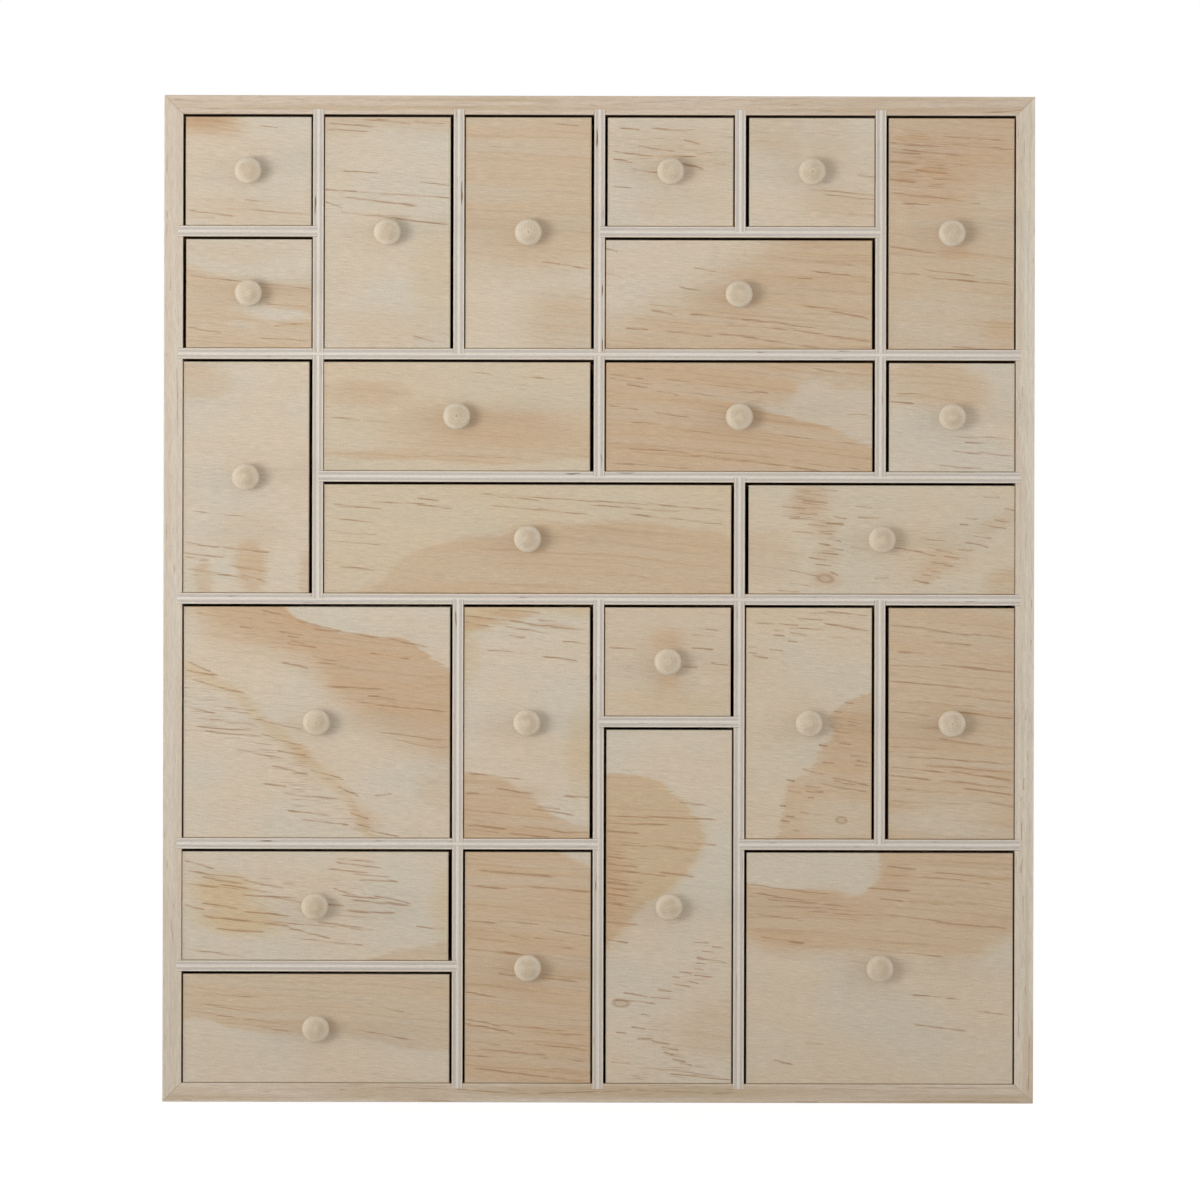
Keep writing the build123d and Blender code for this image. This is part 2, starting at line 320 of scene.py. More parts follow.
# For each drawer: regions of a colour, with a strength and the shapes that bound them, clusters of short
# dashes, knots with a middle and radii, and lines, which are streaks from point to point with a strength
frontFigures = {
    "01": {
        "rust": [oval(0.5, 0.5, -18, 20, 10, 3.5, -4)],
        "heart": [oval(0.9, 0.5, -16, 18.5, 13, 6, -4), oval(0.3, 0.6, 0, -16, 30, 5, -4)],
        "lines": [(-24, -15.5, -6, -18, 0.5), (-10, -15, 24, -17, 0.4), (-2, -11.5, 10, -12, 0.35),
            (-22, -18.3, -13, -18.6, 0.5), (4, 18, 12, 17.6, 0.2)],
    },
    "02": {
        "heart": [(0.75, ("under", 3.5, [(-26, 10), (-10, 7), (0, 6), (26, 3.5)])),
            oval(0.3, 0.6, -8, 17, 24, 4, -4)],
        "pale": [oval(1.0, 0.5, 10, -8.5, 16, 3, -7), oval(0.6, 0.5, -3, -12.5, 7, 1.5, -6)],
        "lines": [(-24, 7, -6, 5.2, 0.7), (-8, 5.5, 24, 2, 0.45), (-24, -13.5, -11, -15.5, 0.75),
            (6, -4, 24, -5.5, 0.5), (10, -13, 24, -12, 0.5), (4, -17.5, 24, -19, 0.4)],
    },
    "03": {
        "heart": [(0.55, ("over", 4, [(-26, 40), (0, 41), (26, 42)])), oval(0.3, 0.6, 4, -38, 30, 8)],
        "ochre": [oval(0.4, 0.6, 20, -14, 10, 18)],
        "lines": [(-24, 43.5, -5, 42, 0.8), (-10, 45, 10, 43.5, 0.6), (-24, 41, -8, 40, 0.6),
            (10, 44.5, 22, 43.5, 0.5), (-18, 24.6, -3, 23.6, 0.6), (12, 20.5, 25, 18.5, 0.65),
            (-25, 17, -12, 16.3, 0.9), (-12, 16.3, 24, 13.8, 0.55), (-18, 14, 12, 10.8, 0.95),
            (15, 14.5, 25, 13.5, 0.5), (-25, 12, -18, 9.7, 0.55), (-20, 8.2, 5, 5.5, 0.55),
            (2, 5.8, 25, 3.6, 0.85), (-5, 7, 10, 6.6, 0.5), (10, -41, 19, -43.5, 0.5)],
    },
    "04": {
        "heart": [(0.75, ("over", 10, [(-26, -14), (0, -16), (26, -10)])), oval(0.7, 0.6, 14, -36, 16, 14)],
        "lines": [(5, -11.3, 13, -12.3, 0.8), (13, -12.3, 25, -14.5, 0.45), (8, 44, 20, 42.6, 0.5)],
    },
    "05": {
        "heart": [oval(0.25, 0.6, 5, -12, 20, 6), oval(0.35, 0.6, 0, 8, 26, 12, -4)],
        "clusters": [oval(0.7, 0.5, 0, 9, 24, 9, -4)],
        "lines": [(-20, 17.3, -12, 16.6, 0.7), (-8, 17.5, 10, 16.5, 0.5), (5, 13, 12, 11, 0.9),
            (-14, 10.5, 2, 8.3, 0.75), (-23, 7.8, -6, 6.2, 0.7), (-6, 6.4, 10, 6, 0.6), (10, 7, 19, 8, 0.5),
            (-23, 5, -15, 3.6, 0.6), (4, 3.4, 13, 1.4, 1.0), (-15, 1, -3, -0.2, 0.5),
            (-23, -5.8, -15, -6.3, 0.5), (18, 14.2, 25, 13.8, 0.35), (17, 3.5, 22, 3, 0.4)],
    },
    "06": {
        "heart": [oval(0.6, 0.5, -16, 15, 14, 8, -8), oval(0.4, 0.6, 6, 13, 10, 10),
            oval(0.5, 0.6, 12, -13, 15, 6)],
        "lines": [(18, -0.8, 26, -2, 0.7), (-2, -7, 26, -9, 0.5), (5, -9, 26, -11, 0.5),
            (14, -16.5, 26, -17.5, 0.4)],
    },
    "07": {
        "heart": [
            (0.95, ("under", 12, [(-53, -13), (-35, -6), (-22, 0), (-8, 8), (5, 16), (15, 24), (53, 40)]))],
        "lines": [(-45, -13.3, -36, -14, 0.9), (-30, -14.5, -10, -16.5, 0.6), (-10, -15, 20, -19.5, 0.7),
            (10, -18.5, 40, -22, 0.6), (-35, -6.5, -26, -8, 0.7), (-36, -4, -24, -5.2, 0.5),
            (-20, -7.3, 10, -10.5, 0.6), (0, -9.5, 30, -13, 0.75), (-5, -12, 20, -14, 0.5),
            (20, -13.5, 52, -18.5, 0.7), (25, -4, 40, -6, 0.6), (36, -6.5, 52, -9.5, 0.8),
            (28, 9.5, 52, 6.5, 0.65), (17, 7, 30, 6, 0.5), (30, 13, 45, 12, 0.4), (-18, 10.5, -9, 9, 0.55),
            (-24, 3, -15, 1.6, 0.65), (-53, 18, -48, 17, 0.7), (-53, 8.5, -47, 7.6, 0.5)],
    },
    "08": {
        "heart": [(0.8, everywhere), oval(1.0, 0.5, 20, -40, 12, 8)],
        "rust": [oval(0.3, 0.6, 0, 30, 30, 16, -4), oval(0.6, 0.6, -8, 25.3, 8, 1.6, -3),
            oval(0.5, 0.6, -19, 21.8, 7, 2.2, -3), oval(0.5, 0.6, -18, 29.3, 8, 1.2, -4),
            oval(0.5, 0.6, -15, 36.2, 9, 1.5, -5), oval(0.35, 0.6, -8, 14.2, 17, 2.5, -4),
            oval(0.3, 0.6, 2, -7.5, 6, 2.5)],
        "pale": [oval(0.4, 0.6, 18, 16, 13, 11), oval(0.35, 0.6, -8, -34, 22, 13)],
        "clusters": [oval(0.9, 0.5, -12, 28, 16, 14, -5)],
        "lines": [(-4, 38.7, 8, 38, 0.8), (5, 38.5, 25, 36.5, 0.6), (-25, 36.3, -5, 34.6, 0.9),
            (-20, 33.5, 5, 31, 0.8), (-25, 33, -12, 31.5, 0.7), (-25, 28.7, -13, 27.6, 0.9),
            (-12, 29, 10, 27.3, 0.6), (-15, 25.2, -1, 24.2, 1.0), (-25, 21.5, -14, 20.4, 0.9),
            (-10, 22.5, 12, 20.5, 0.4), (-25, 16.4, 0, 13.5, 0.85), (-20, 12.2, -8, 11.4, 0.7),
            (-4, 14, 12, 11.5, 0.6), (0, 35.5, 25, 33.3, 0.5), (-25, -5.6, -5, -8, 0.6),
            (-25, -15.3, -12, -16.5, 0.6), (-12, -14, 10, -17, 0.5), (-10, -17.3, 25, -20.3, 0.8),
            (0, -45, 15, -46, 0.6)],
    },
    "09": {
        "heart": [oval(0.6, 0.5, -19, 38, 13, 7, -6), oval(0.9, 0.35, 2, -34.5, 6, 10.5, 8),
            oval(0.8, 0.35, -17, -40, 3.6, 7), oval(0.7, 0.35, 24, -39, 3.2, 9),
            oval(0.4, 0.6, 0, -22, 14, 7)],
        "lines": [(-25, -25.8, -10, -28, 0.7), (-10, -28, 10, -30, 0.6), (-25, -29.8, -8, -32.2, 0.7),
            (-24, -31.5, -14, -33, 0.5), (-8, -35, 8, -37.5, 0.7), (-25, -36, 2, -40.5, 0.5),
            (-2, -38.5, 8, -41.5, 0.6), (-22, -13.5, 0, -15.5, 0.25)],
    },
    "10": {
        "heart": [oval(0.75, 0.5, 16, -4, 44, 9, -2), oval(0.85, 0.5, -36, 8, 16, 5),
            (0.7, ("over", 0.8, [(-53, -16), (-30, -17.5), (0, -18), (20, -18.5), (53, -18)]), ("under", 3,
                [(-53, -14), (-20, -10), (0, -6), (53, -6)]))],
        "pale": [(0.6, ("under", 0.8, [(-53, -17), (0, -18.7), (53, -19)]))],
        "ochre": [(0.28, everywhere)],
        "rust": [oval(0.25, 0.6, 22, -6, 26, 6, -3)],
        "lines": [(-50, -0.6, -38, -1.8, 0.6), (-38, -1.6, -25, -2.4, 0.35), (5, 17.5, 14, 17, 0.4),
            (24, 16, 38, 15, 0.35), (-30, -15.5, 20, -16.5, 0.3)],
    },
    "11": {
        "heart": [(1.0, everywhere)],
        "rust": [(0.12, everywhere)],
        "pale": [(0.9, ("under", 3.0, [(-53, 7.5), (-2, 8.2), (12, 7.5), (20, 8.5), (24, 13), (30, 15),
                (40, 13), (53, 11.5)]), ("over", 0.8, [(-53, 10), (-3, 7), (10, 4.5), (20, 1), (30, -3),
                (40, -6.5), (53, -13)])), oval(0.4, 0.6, 38, 18, 16, 3)],
        "lines": [(-52, 17, -38, 15, 0.7), (-52, 15.5, -34, 12.5, 0.6), (-45, 13, -36, 11.5, 0.7),
            (-33, 10, -24, 8.5, 0.6), (-20, 10, -8, 8, 0.5), (-30, 15, 5, 11, 0.4), (0, 10.5, 12, 10, 0.5),
            (-52, 4.5, -40, 3, 0.7), (-34, 1.7, -20, 0, 0.6), (-52, -1, -30, -3, 0.5),
            (-30, -4, -10, -6.5, 0.4), (5, -5.5, 25, -8.2, 0.6), (20, -7.5, 52, -12, 0.4),
            (-45, -12, -20, -14, 0.7), (-20, -13, 20, -17, 0.6), (-20, -15.5, 10, -18.5, 0.7),
            (5, -18, 35, -21.5, 0.7), (20, -17, 50, -21, 0.5), (-52, -18, -20, -20.5, 0.5),
            (42, 1, 52, 1.3, 0.7), (30, 19, 52, 16.5, 0.6)],
    },
    "12": {
        "heart": [oval(0.7, 0.35, -5, 12, 23, 9.5, -8)],
        "pale": [oval(0.8, 0.6, -14, -6, 16, 9), oval(0.7, 0.5, 23, 12, 7, 12, -20)],
        "lines": [(-25, 6.5, -15, 5.5, 0.6), (-22, 9.5, -8, 8.8, 0.4), (0, -7, 24, -8.6, 0.5),
            (0, -13, 12, -14, 0.6), (10, -13.5, 25, -15.5, 0.5), (-5, -19, 12, -20.3, 0.5),
            (5, -9.5, 14, -10, 0.4)],
    },
    "13": {
        "heart": [(0.88, ("under", 2.2, [(-81, -22), (-60, -18), (-50, -8), (-30, -1), (-10, 3), (5, 6),
                (30, 7.5), (50, 6), (65, 3.5), (81, 0)])),
            (1.0, ("under", 4, [(-81, -34), (-60, -24), (-40, -17), (0, -15), (81, -19)]))],
        "ochre": [(0.35, everywhere)],
        "lines": [(-78, 13.3, -58, 12, 0.6), (-62, 15, -40, 13.5, 0.4), (-44, 16.3, -35, 15, 0.7),
            (-44, 13.5, -30, 12.3, 0.6), (-12, 16.5, 5, 15.5, 0.5), (-15, 13, 10, 11.5, 0.5),
            (0, 12, 25, 10, 0.5), (-20, 17.8, 20, 16, 0.3), (18, 15.8, 50, 13.3, 0.6),
            (25, 13.5, 60, 11, 0.5), (45, 14.5, 80, 11, 0.6), (40, 10, 80, 5.5, 0.45),
            (-80, 8, -60, 6.5, 0.35), (-80, 3, -60, 1.5, 0.35), (-80, -1, -55, -2.5, 0.3),
            (-75, -11, -60, -12.4, 0.7)],
    },
    "14": {
        "heart": [oval(0.5, 0.45, -47, -7, 15, 10, -10), oval(0.75, 0.4, 52, -19, 11, 7, 10),
            oval(0.3, 0.6, 20, -6, 14, 8)],
        "clusters": [oval(0.9, 0.5, -29, 15, 9, 8), oval(0.9, 0.5, -22, 2, 5, 8),
            oval(0.7, 0.5, 32, -4, 24, 5, 36), oval(0.8, 0.6, 20, 3, 13, 7, -20)],
        "rust": [oval(0.45, 0.7, -29, 15.5, 7, 6, 20), oval(0.3, 0.7, -23, 5, 5, 5),
            oval(0.25, 0.7, -22, -6, 5, 5), oval(0.3, 0.5, -22, -15.5, 6, 3.5),
            oval(0.25, 0.7, 46, 7, 9, 3, 32), oval(0.25, 0.7, 20, -11, 9, 3.5, 40)],
        "ochre": [(0.16, everywhere)],
        "knots": [((-22.4, -15.6), (3.6, 1.8))],
        "lines": [(-33, 18.8, -24, 18, 0.6), (-25, 20, -17, 19.4, 0.5), (-32.3, 15.9, -21, 14.9, 0.7),
            (-40, 13.5, -30, 12.4, 0.8), (-33.5, 10.6, -25, 10, 0.6), (-40, 9.5, -32, 8.9, 0.6),
            (-37, 8.6, -22, 7.4, 0.6), (-19.5, 9.5, -13.7, 8.3, 0.7), (-22, 6.5, -15, 6.2, 0.7),
            (-30, 6, -21, 4.8, 0.6), (-36, 3.3, -26.5, 2.4, 0.7), (-25, 3, -19.5, 2.4, 0.6),
            (-22, 0.5, -16, -0.4, 0.6), (-25, -1.6, -20.5, -2.2, 0.7), (-20.5, -3.4, -15, -4, 0.7),
            (-26.5, -5.1, -17, -5.8, 0.6), (-29, -7.2, -21.5, -7.8, 0.7), (-26.5, -9.8, -19.5, -10.4, 0.6),
            (-11, 13.5, -3.5, 12.9, 0.6), (-10, 9.3, -1, 8.8, 0.6), (-12.5, -2.8, -5.5, -3.4, 0.5),
            (5, -3.4, 14, -4.6, 0.7), (13, -4.6, 21.5, -6.5, 0.8), (21, -4, 28.5, -5.2, 0.6),
            (31, 6.2, 34.5, 5.6, 0.8), (33, 8.9, 38, 8.2, 0.6), (48.5, 12.4, 53, 11.8, 0.7),
            (44.5, 8, 51, 7, 0.8), (42, 5.4, 49.5, 4.7, 0.6), (36.5, 1.4, 43.5, 0.5, 0.7),
            (33, -1, 42.5, -3.1, 0.7), (30, -4, 36.5, -4.4, 0.6), (24.5, -6.5, 31, -7.6, 0.7),
            (19, -8.6, 28.5, -10.5, 0.7), (17.5, -11.6, 24, -12.9, 0.6), (15.5, -13.3, 23.7, -15, 0.7),
            (12, -15.6, 19, -17.1, 0.8), (-3, -15.4, 3, -15.2, 0.6), (-37, -12.1, -25, -14.8, 0.6),
            (-20.5, -12.7, -17, -14.5, 0.8), (-37, -17.4, -27.5, -18.6, 0.6),
            (-41.5, -20.2, -32, -20.8, 0.6), (40, 17.6, 47, 16.8, 0.6)],
    },
    "15": {
        "heart": [(1.05, ("under", 0.8, heartTop), ("over", 12, [(-53, 46), (-35, 35), (-10, 26), (0, 19),
                (10, 7), (30, -5), (53, -16)])), oval(0.5, 0.5, 50, -26, 10, 8)],
        "ochre": [(0.45, ("under", 2, slantTop), ("over", 2, [(-53, 19), (-35, 11), (-25, 1), (-12, -11),
                (0, -21), (10, -31), (20, -46), (53, -90)])), oval(0.6, 0.6, -24, 40, 24, 6, -16),
            oval(0.6, 0.5, 49, 17, 7, 4, -25)],
        "rust": [(0.55, ("under", 0.8, heartTop), ("over", 4, [(-53, 56), (-14, 42), (0, 35), (10, 33),
                (38, 30), (45, 26), (53, 21)])),
            (0.22, ("under", 0.8, heartTop), ("over", 9, [(-53, 48), (-35, 38), (-10, 29), (0, 22),
                (10, 10), (30, -2), (53, -13)])), oval(0.35, 0.8, -7, -13, 5, 2.5, -30),
            oval(0.35, 0.8, 19, -39, 4, 6, 40)],
        "clusters": [oval(0.7, 0.6, -18, 36, 20, 8, -14),
            (0.85, ("under", 3, slantTop), ("over", 5, [(-53, -6), (-30, -10), (0, -40), (10, -44),
                (53, -60)]))],
        "lines": [(-8, 40.5, 10, 36, 0.8), (5, 36.5, 25, 33.8, 0.7), (-15, 36, -5, 34.5, 0.7),
            (-30, 38.5, -20, 36.5, 0.5), (-12, 31.5, 0, 29.5, 0.8), (-2, 26.5, 10, 24, 0.5),
            (-14, 23.5, -3, 21.5, 1.0), (0, 24.2, 14, 21.6, 0.6), (21, 27.7, 37, 25.4, 0.5),
            (2, 14.5, 26, 13, 0.95), (20, 10.5, 32, 9, 0.8), (15, 8, 52, 4, 0.7),
            (-31, 38.1, -25.5, 37, 0.8), (-11.6, 34.3, -7, 33.5, 0.9), (-10.4, 32.3, -4.6, 31.2, 0.8),
            (25, -4, 52, -7, 0.6), (30, -6.5, 52, -10.5, 0.5), (-52, 20.5, -40, 18.5, 0.7),
            (-50, 17, -30, 11.5, 0.7), (-37, 13.5, -28, 11, 0.7), (-52, 6, -40, 3.5, 0.6),
            (-48, -1.5, -25, -3.5, 0.8), (-45, -3, -20, -6, 0.7), (-25, 1.5, -5, -3.5, 0.6),
            (-21, -24.4, -11.6, -25.6, 0.7), (-22, 44.6, -12, 42, 0.9), (-48, 43.3, -36, 42, 0.6),
            (28, 33.5, 44, 30.2, 0.7), (-51, 23.7, -39, 18.5, 0.7), (-37, 6, -24, 4.7, 0.6),
            (-43, 1.5, -24, -1, 0.6), (-23, -4.4, -8, -9, 0.6), (-16, -11.5, -4, -13.6, 0.9),
            (-32, -10.5, -12, -15, 0.5), (-18, -17.5, -3, -20.8, 0.7), (-3, -18.8, 11, -22.7, 0.7),
            (-14, -28, 10, -30.6, 0.6), (8, -25.4, 17, -29.5, 0.8), (-12, -34.5, 5, -37.1, 0.6),
            (-6, -38.5, 13, -41, 0.7), (13, -36, 21, -38.5, 0.9), (15, -40, 22, -42, 0.8),
            (-1, 37, 9.3, 35.8, 0.8), (23, -29.2, 30, -28.7, 0.7), (21, -43, 33, -45.6, 0.6)],
    },
    "16": {
        "heart": [(1.0, ("under", 1.2, [(-26, -20.5), (-15, -22), (-5, -25), (2, -30), (10, -36), (18, -39),
                (26, -42)]))],
        "rust": [oval(0.5, 0.7, -8, 43.7, 10, 1.6, -6), oval(0.45, 0.7, -17, 40.6, 8, 1.4, -7),
            oval(0.5, 0.7, -21, 38.3, 6, 1.4, -4), oval(0.4, 0.7, 13, 37.6, 8, 1.2, -4),
            oval(0.25, 0.7, -5, -27.3, 12, 2.5, -8), oval(0.3, 0.7, -4, -43, 24, 3, -5)],
        "ochre": [(0.7, ("over", 4, [(-26, 30), (-18, 38), (-5, 42), (26, 43)])),
            oval(0.5, 0.6, 22, -12, 6, 16), oval(0.5, 0.6, -25, 27, 6, 10)],
        "lines": [(-25, 42.5, -8, 40.5, 0.95), (-12, 45, 6, 43.6, 0.8), (-25, 40, -15, 38.5, 0.7),
            (-8, 40.5, 16, 37.5, 0.8), (0, 39, 24, 36.5, 0.6), (-10, 38.5, 10, 35.5, 0.5),
            (9, 37.9, 17, 37.2, 1.0), (4, 41, 12, 40, 0.6), (-7.5, 34.9, -0.5, 34, 0.6),
            (14, 32.2, 24, 31.2, 0.6), (6, 26.4, 20, 24.8, 0.8), (-16, 29, -1, 28, 0.3),
            (-24, -20, -1, -22.7, 0.6), (14.5, -29, 25, -30, 0.7), (-12, -26.2, 3, -28.5, 0.9),
            (-24, -28.2, -19, -28.3, 0.7), (4, -33.4, 13.5, -34.4, 0.6), (1.5, -34.3, 19, -36.9, 0.8),
            (-25, -34.5, -6, -36.5, 0.4), (-24, -40.8, -8, -42.4, 0.9), (-24, -42.4, -10, -44, 0.6),
            (-2, -41, 16, -43.4, 0.7), (-7.5, -43.6, 9.5, -45.6, 0.8), (12, -43.2, 25, -43.6, 0.6)],
    },
    "17": {
        "heart": [(0.3, everywhere)],
        "rust": [oval(0.25, 0.9, 0, 7.5, 8, 5), oval(0.25, 0.9, 0, -7.5, 8, 5)],
        "ochre": [oval(0.5, 0.6, 0, 8, 5, 4), oval(0.5, 0.6, 0, -8, 5, 4), oval(0.4, 0.6, 2, -16, 20, 5)],
        "lines": [(9, 5.6, 18, 5.2, 0.9), (9, 10.8, 20, 9.8, 0.4), (17, -0.4, 24, -1.5, 0.6),
            (6, -1.8, 12, -2.5, 0.8), (-24, 6, -12, 4.8, 0.4), (-13, -4.5, -4, -5.6, 0.4),
            (12, 13, 20, 12.4, 0.3)],
    },
    "18": {
        "heart": [(0.9, ("rightOf", 0.9, [(-47, -13), (-38, -10.5), (-30, -9), (-25, -8), (-20, -1),
                (-14, 3), (-8, 5.5), (-3, 10), (3, 8.5), (9, 14), (11, 19), (14, 27), (47, 60)]))],
        "pale": [oval(0.5, 0.5, 12, -38, 14, 8, -4)],
        "rust": [(0.22, ("oval", 0.5, (18, -6), (13, 14), 20), ("rightOf", 0.9, [(-47, 60), (-14, 3),
                (-8, 5.5), (9, 14), (47, 60)]))],
        "ochre": [(0.14, everywhere), oval(0.3, 0.5, -16, 43, 14, 6, -6)],
        "knots": [((13, -38.5), (2.4, 1.5))],
        "lines": [(-0.5, 44, 12, 43.8, 0.5), (6.6, 44.8, 24, 43, 0.8), (-5, 41.6, 6, 41.2, 0.7),
            (-21, 39.8, -13, 39.2, 0.7), (-13, 39.2, -4, 39, 0.6), (6, 39.8, 19, 37.9, 0.8),
            (12, 38.8, 24, 36.6, 0.8), (-8, 37.8, 5, 37.3, 0.6), (-14, 36.9, -10, 36.4, 0.7),
            (-14, 34.9, -9.6, 34.4, 0.8), (-8, 36, -0.5, 34.8, 0.7), (-8.5, 32.5, -4.4, 31.9, 0.8),
            (6, 34.9, 24, 33.4, 0.3), (-16, 29.3, -10, 28.4, 0.8), (-24, 30.5, -20, 30.2, 0.6),
            (-24, 28, -20.6, 27.7, 0.6), (-22.6, 26.8, -16, 26, 0.7), (14, 8.4, 18, 8.1, 0.8),
            (10, 5, 13.2, 4.7, 0.8), (15, 1.1, 21, -0.2, 0.7), (12, -0.5, 19, -0.9, 0.6),
            (9, -2.8, 17, -3.5, 0.7), (10, -6.4, 15, -7.7, 0.7), (12, -7.7, 17, -8.4, 0.6),
            (4, -8.3, 7.5, -9, 0.8), (5.5, -15.3, 10.5, -15.8, 1.0), (16, -12.9, 24, -13.6, 0.8),
            (19, -14.8, 24, -15.6, 0.7), (18, -16.8, 24, -17.5, 0.7), (-3, -18.1, 6, -20.2, 0.9),
            (9, -21.3, 24, -24.6, 0.9), (10, -22.6, 19, -24.5, 0.7), (4, -23.7, 24, -27.1, 0.7),
            (-1.5, -24.9, 5, -25.3, 0.7), (-9, -22.5, -5.5, -23, 0.9), (-8.5, -27, -3, -27.4, 0.7),
            (-1.2, -27.1, 6, -27.4, 0.7), (-0.5, -29.6, 2.2, -29.8, 0.8), (-11.5, -33, -9, -33.2, 0.9),
            (-9, -37.2, -5.5, -37.6, 0.9), (-3.5, -35.5, 0.2, -36, 0.7), (-11, -38.7, -7.5, -39.3, 0.8),
            (-6, -42.3, -3.6, -42.7, 0.8)],
    },
    "19": {
        "heart": [(0.9, everywhere)],
        "pale": [oval(0.5, 0.6, -2, -38, 20, 8)],
        "lines": [(-25, 39, 0, 36.5, 0.5), (-10, 36.8, 25, 33.8, 0.6), (-8, 32.5, 8, 31, 0.7),
            (-22, 28.7, -10, 27.6, 0.7), (-25, 23.5, 0, 21.5, 0.5), (-5, 23.3, 25, 20.5, 1.0),
            (-25, 16.5, 5, 14.5, 0.7), (0, 15, 25, 12.5, 0.5), (0, 11.5, 25, 8.5, 0.6),
            (-15, 8.5, 10, 6.5, 0.4), (0, 5, 25, 2, 0.7), (-25, 4.5, -8, 3, 0.4), (-20, -1, 5, -3, 0.4),
            (-5, -6, 14, -8.8, 0.7), (-25, -9, -5, -10, 0.4), (-20, -13, 25, -16, 0.7),
            (-10, -16.5, 25, -19.5, 0.8), (-25, -17, 0, -19.5, 0.6), (0, -19, 25, -22.5, 0.9),
            (-25, -20.5, -8, -22, 0.8), (-5, -22.5, 25, -25.5, 0.7), (5, -25.5, 25, -28.5, 0.8),
            (-25, -25, -8, -26.5, 0.5), (14, -31, 25, -33, 0.5), (-25, -30.5, 10, -32, 0.4)],
    },
    "20": {
        "heart": [
            (0.75, ("under", 1.2, [(-53, -40), (15, -24), (25, -21), (33, -17), (42, -15), (53, -13.5)]))],
        "ochre": [oval(0.8, 0.6, -36, 5, 12, 8, -15), oval(0.8, 0.6, -30, -5, 16, 6, -6),
            oval(0.5, 0.8, 53, 0, 6, 12)],
        "clusters": [oval(0.6, 0.5, 0, 5, 50, 12, -4)],
        "lines": [(-52, 14, -28, 11, 0.7), (-45, 11.5, -28, 8.5, 0.8), (-52, 8.8, -30, 6.5, 0.6),
            (-38, 8.5, -15, 4.8, 0.7), (-20, 4, 0, 0.5, 0.7), (-45, 0.8, -30, -1, 0.7),
            (-45, -4, -25, -6, 0.9), (-28, -2.2, -10, -4, 0.9), (-30, -5.5, -10, -8, 0.95),
            (-40, -9, -20, -10.5, 0.8), (-20, -6, 10, -8.5, 0.6), (0, -6, 20, -9.5, 0.7),
            (-5, -13, 20, -16, 0.6), (5, 14.8, 22, 13, 0.8), (15, 12.8, 30, 11.5, 0.6),
            (8, 19, 24, 17.5, 0.5), (10, 4.5, 26, 3, 0.8), (3, 0.8, 12, 0, 0.6), (14, 2.5, 38, 0, 0.8),
            (12, -1.5, 32, -3, 0.9), (8, -3.5, 26, -4.6, 0.5), (40, -8, 52, -9, 0.5),
            (-52, -17, -28, -20.3, 0.6), (-13, 9, -8, 8.4, 0.6), (8, 17.4, 26, 15.2, 0.7),
            (17, 10.7, 33, 9.4, 0.7), (7, 6.9, 18, 3.7, 0.6), (23, 4.3, 38, 0.8, 0.8),
            (-52, 18, -40, 14.8, 0.6), (-29, 10.2, -12, 6.9, 0.7), (-30, 4.3, -6, 3, 0.6),
            (-52, 0.4, -44, -1.6, 0.6), (-12, -8.1, 7, -13.3, 0.7), (7, -6.8, 23, -9.4, 0.6)],
    },
    "21": {
        "heart": [(0.68, ("over", 0.9, [(-53, 3), (-42, 1.8), (-35, 0.2), (-25, -1.8), (-12, -2.2),
                (0, -2.5), (12, -3), (22, -4), (30, -6.5), (40, -8.5), (53, -9)]))],
        "lines": [(-52, 7, -30, 3.5, 0.5), (-48, 9.5, -20, 6, 0.5), (-25, 1, -10, -1, 0.5),
            (-30, 4, -10, 1.5, 0.4), (-45, 14, -20, 12, 0.3), (15, 0, 40, -5, 0.35), (20, 10, 40, 5, 0.3)],
    },
    "22": {
        "heart": [(1.0, everywhere)],
        "pale": [(0.9, ("over", 1.5, [(-26, 70), (8, 48), (14, 44.5), (26, 40)]))],
        "lines": [(-20, 38.8, 10, 36.2, 0.9), (-24, 33, -8, 31.5, 0.8), (0, 32.5, 25, 30, 0.7),
            (-25, 18.7, -12, 17.8, 0.5), (-12, 18.8, 5, 17, 0.5), (8, 15, 25, 12.5, 0.6),
            (-8, 12.5, 20, 10, 0.3), (-25, 7.5, 5, 4, 0.7), (5, 9, 25, 6.5, 0.4),
            (-12, -2.5, -5, -3.5, 0.7), (4, -3.5, 20, -5.7, 0.6), (-25, -9.3, -12, -12, 0.7),
            (-25, -20.5, -10, -23.5, 0.8), (-25, -22.5, -5, -26, 0.95), (-12, -22.5, 15, -25, 0.6),
            (0, -25, 25, -27, 0.6), (2, -30, 25, -33, 0.6), (-25, -29, -10, -31, 0.5),
            (-20, -32.5, -5, -33.5, 0.7), (-8, -33.5, 8, -34.5, 0.8), (-25, -35, -12, -35.5, 0.5),
            (5, -35.5, 25, -37.5, 0.4), (-22, -40, 8, -43.5, 0.8), (10, -44, 25, -46, 0.5)],
    },
    "23": {
        "heart": [(0.75, ("leftOf", 0.8, [(-75, -60), (-22, -34), (-16, -25), (-10, -20), (-4, -13.5),
                (3, -7), (8, -2), (12, 4), (17, 9), (22, 12.5), (28, 13.5), (34, 11), (40, 7.5), (46, 1.5),
                (51, -10), (53.5, -20), (56, -40), (75, -60)])), oval(0.5, 0.4, 24, -47, 22, 11, 8)],
        "pale": [oval(0.3, 0.7, -10, 16, 13, 7, -4), oval(0.25, 0.7, -12, 3, 9, 4, -4)],
        "ochre": [(0.75, ("leftOf", 3, [(-75, -60), (-26, -34), (-10, -19), (3, -6), (12, 5), (22, 13),
                (28, 14), (34, 11.5), (46, 2), (51, -10), (56, -40), (75, -60)]))],
        "rust": [oval(0.4, 0.7, -26, 10, 9, 24)],
